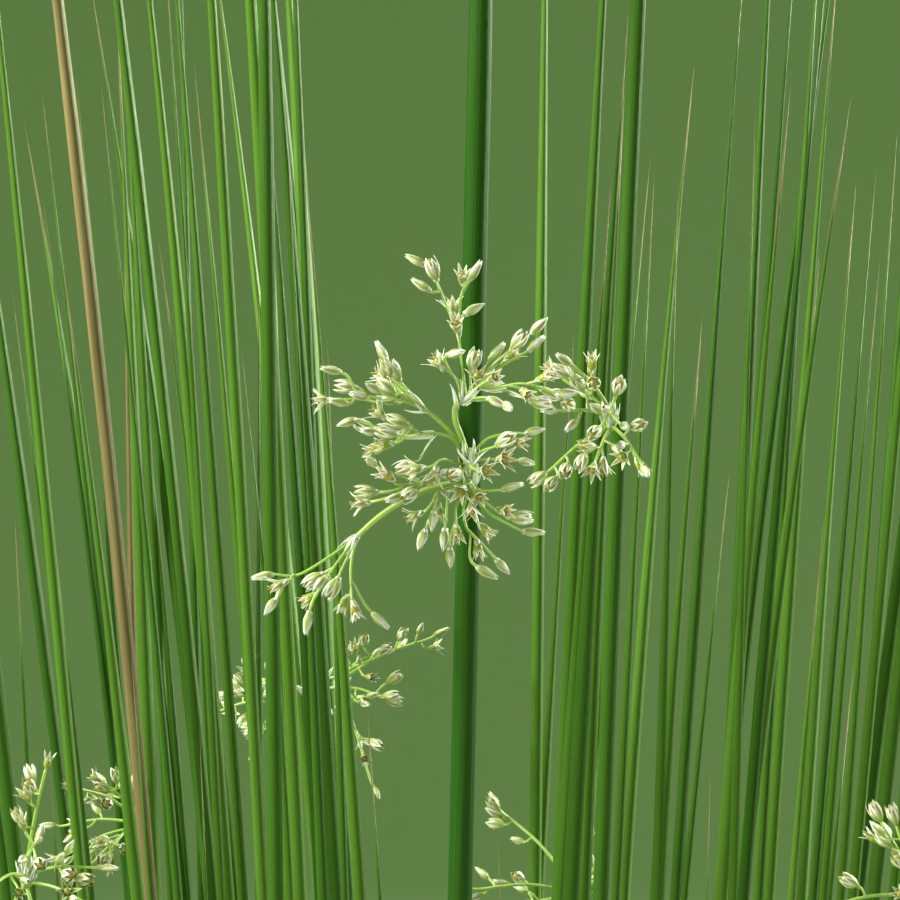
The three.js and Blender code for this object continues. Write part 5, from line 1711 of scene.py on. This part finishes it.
def add_shoot(mesh, shoot, centre, size, tint, draw):
    out, way = math.sqrt(draw()) * SHOOT_SPREAD, draw(0, FULL_TURN)
    flat = Vector((*polar(out, way), 0))
    foot = centre + (flat + UP * (math.sqrt(1 - out * out) * MOSS_FLATNESS)) * size * SHOOT_FOOT
    aside = Vector((draw(*SHOOT_WANDER), draw(*SHOOT_WANDER), 0))
    tip = foot + (flat * SHOOT_LEAN + UP + aside) * draw(*SHOOT_LENGTHS)
    path = [foot, foot.lerp(tip, 0.5) + flat * SHOOT_BEND, tip]
    shade = tint * SHOOT_TINT + draw(*SHOOT_TINTS)
    add_tube(mesh, shoot, path, SHOOT_RADII, [(shade, 0, k / 2) for k in range(len(path))])


def build_moss(look):
    """Cushions of moss, each a low bun with a crowd of short pointed shoots"""
    draw = Draws(MOSS_SEED)
    shoot, bun = tube_stock(SHOOT_SIDES, len(SHOOT_RADII), True), ico_stock(MOSS_DETAIL)
    mesh = new_mesh()
    _, looks = layers(mesh)
    for _ in range(MOSS_CUSHIONS):
        x, y = polar(draw(MOSS_FROM, SOIL_RADIUS - MOSS_MARGIN), draw(0, FULL_TURN))
        size, tint = draw(*MOSS_SIZES), draw()
        centre = Vector((x, y, soil_top(x, y) - MOSS_SINK))
        for vertex in put(mesh, bun):
            lump = 1 + MOSS_LUMPS * noise.noise(vertex.co * MOSS_GRAIN + centre)
            vertex[looks] = (tint, 0, MOSS_RISE + MOSS_TOP_RISE * max(vertex.co.z, 0))
            vertex.co = centre + vertex.co * Vector((1, 1, MOSS_FLATNESS)) * (size * lump)
        for _ in range(int(MOSS_SHOOTS * size * size / MOSS_MEAN_SQUARE / MOSS_CUSHIONS)):
            add_shoot(mesh, shoot, centre, size, tint, draw)
    add_piece("moss", mesh, [look], slot="soil")


# Studio

FLOOR_RADIUS = 4
BOWL_RADIUS = 3
BOWL_RINGS = 16
WALL_TOP = 9
STAGE_STEPS = 96
SOFT_WHITE = (0.92, 0.97, 0.92, 1)
SURROUND = 0.22


def build_stage():
    profile = [(0, 0), (FLOOR_RADIUS, 0)]
    for k in range(1, BOWL_RINGS + 1):
        rise, out = polar(BOWL_RADIUS, math.pi / 2 * k / BOWL_RINGS)
        profile.append((FLOOR_RADIUS + out, BOWL_RADIUS - rise))
    profile.append((FLOOR_RADIUS + BOWL_RADIUS, WALL_TOP))
    mesh = bmesh.new()
    spin_profile(mesh, profile, STAGE_STEPS)
    bmesh.ops.reverse_faces(mesh, faces=mesh.faces)
    studio = as_smooth_object("studio", mesh, [studio_finish()])


def add_light(name, place, target, size, watts, colour=(1, 1, 1)):
    """A round lamp of that size, turned to its target"""
    data = bpy.data.lights.new(name, "AREA")
    data.shape = "DISK"
    data.size = size
    data.energy = watts
    data.color = colour
    light = put_in_scene(name, data)
    light.location = place
    light.rotation_euler = (target - place).to_track_quat("-Z", "Y").to_euler()


def light_stage():
    spray = FIRST_HEAD * MM
    add_light("key", spray + Vector((-1.4, -0.3, 0.7)), spray, 0.5, 54, (1, 1, 0.98))
    add_light("fill", spray + Vector((-0.6, -1.5, -0.2)), spray, 1, 8)
    add_light("rim", spray + Vector((1.15, 0.8, 0.5)), spray, 0.4, 60, (1, 0.99, 0.96))
    add_light("overhead", Vector((0, -0.3, 7)), Vector(), 9, 400)
    world = bpy.data.worlds.new("soft_light")
    world.use_nodes = True
    background = world.node_tree.nodes["Background"]
    background.inputs["Color"].default_value = SOFT_WHITE
    background.inputs["Strength"].default_value = SURROUND
    bpy.context.scene.world = world
    bpy.context.scene.view_settings.view_transform = "Standard"


add_camera()
build_pot(clay_finish())
build_soil(soil_finish())
build_crumbs(crumb_finish())
build_moss(moss_finish())
build_stems(stem_finish(), rhizome_finish())
build_sprays(ray_finish(), tepal_finish(), capsule_finish(), anther_finish(), bract_finish())
build_stage()
light_stage()
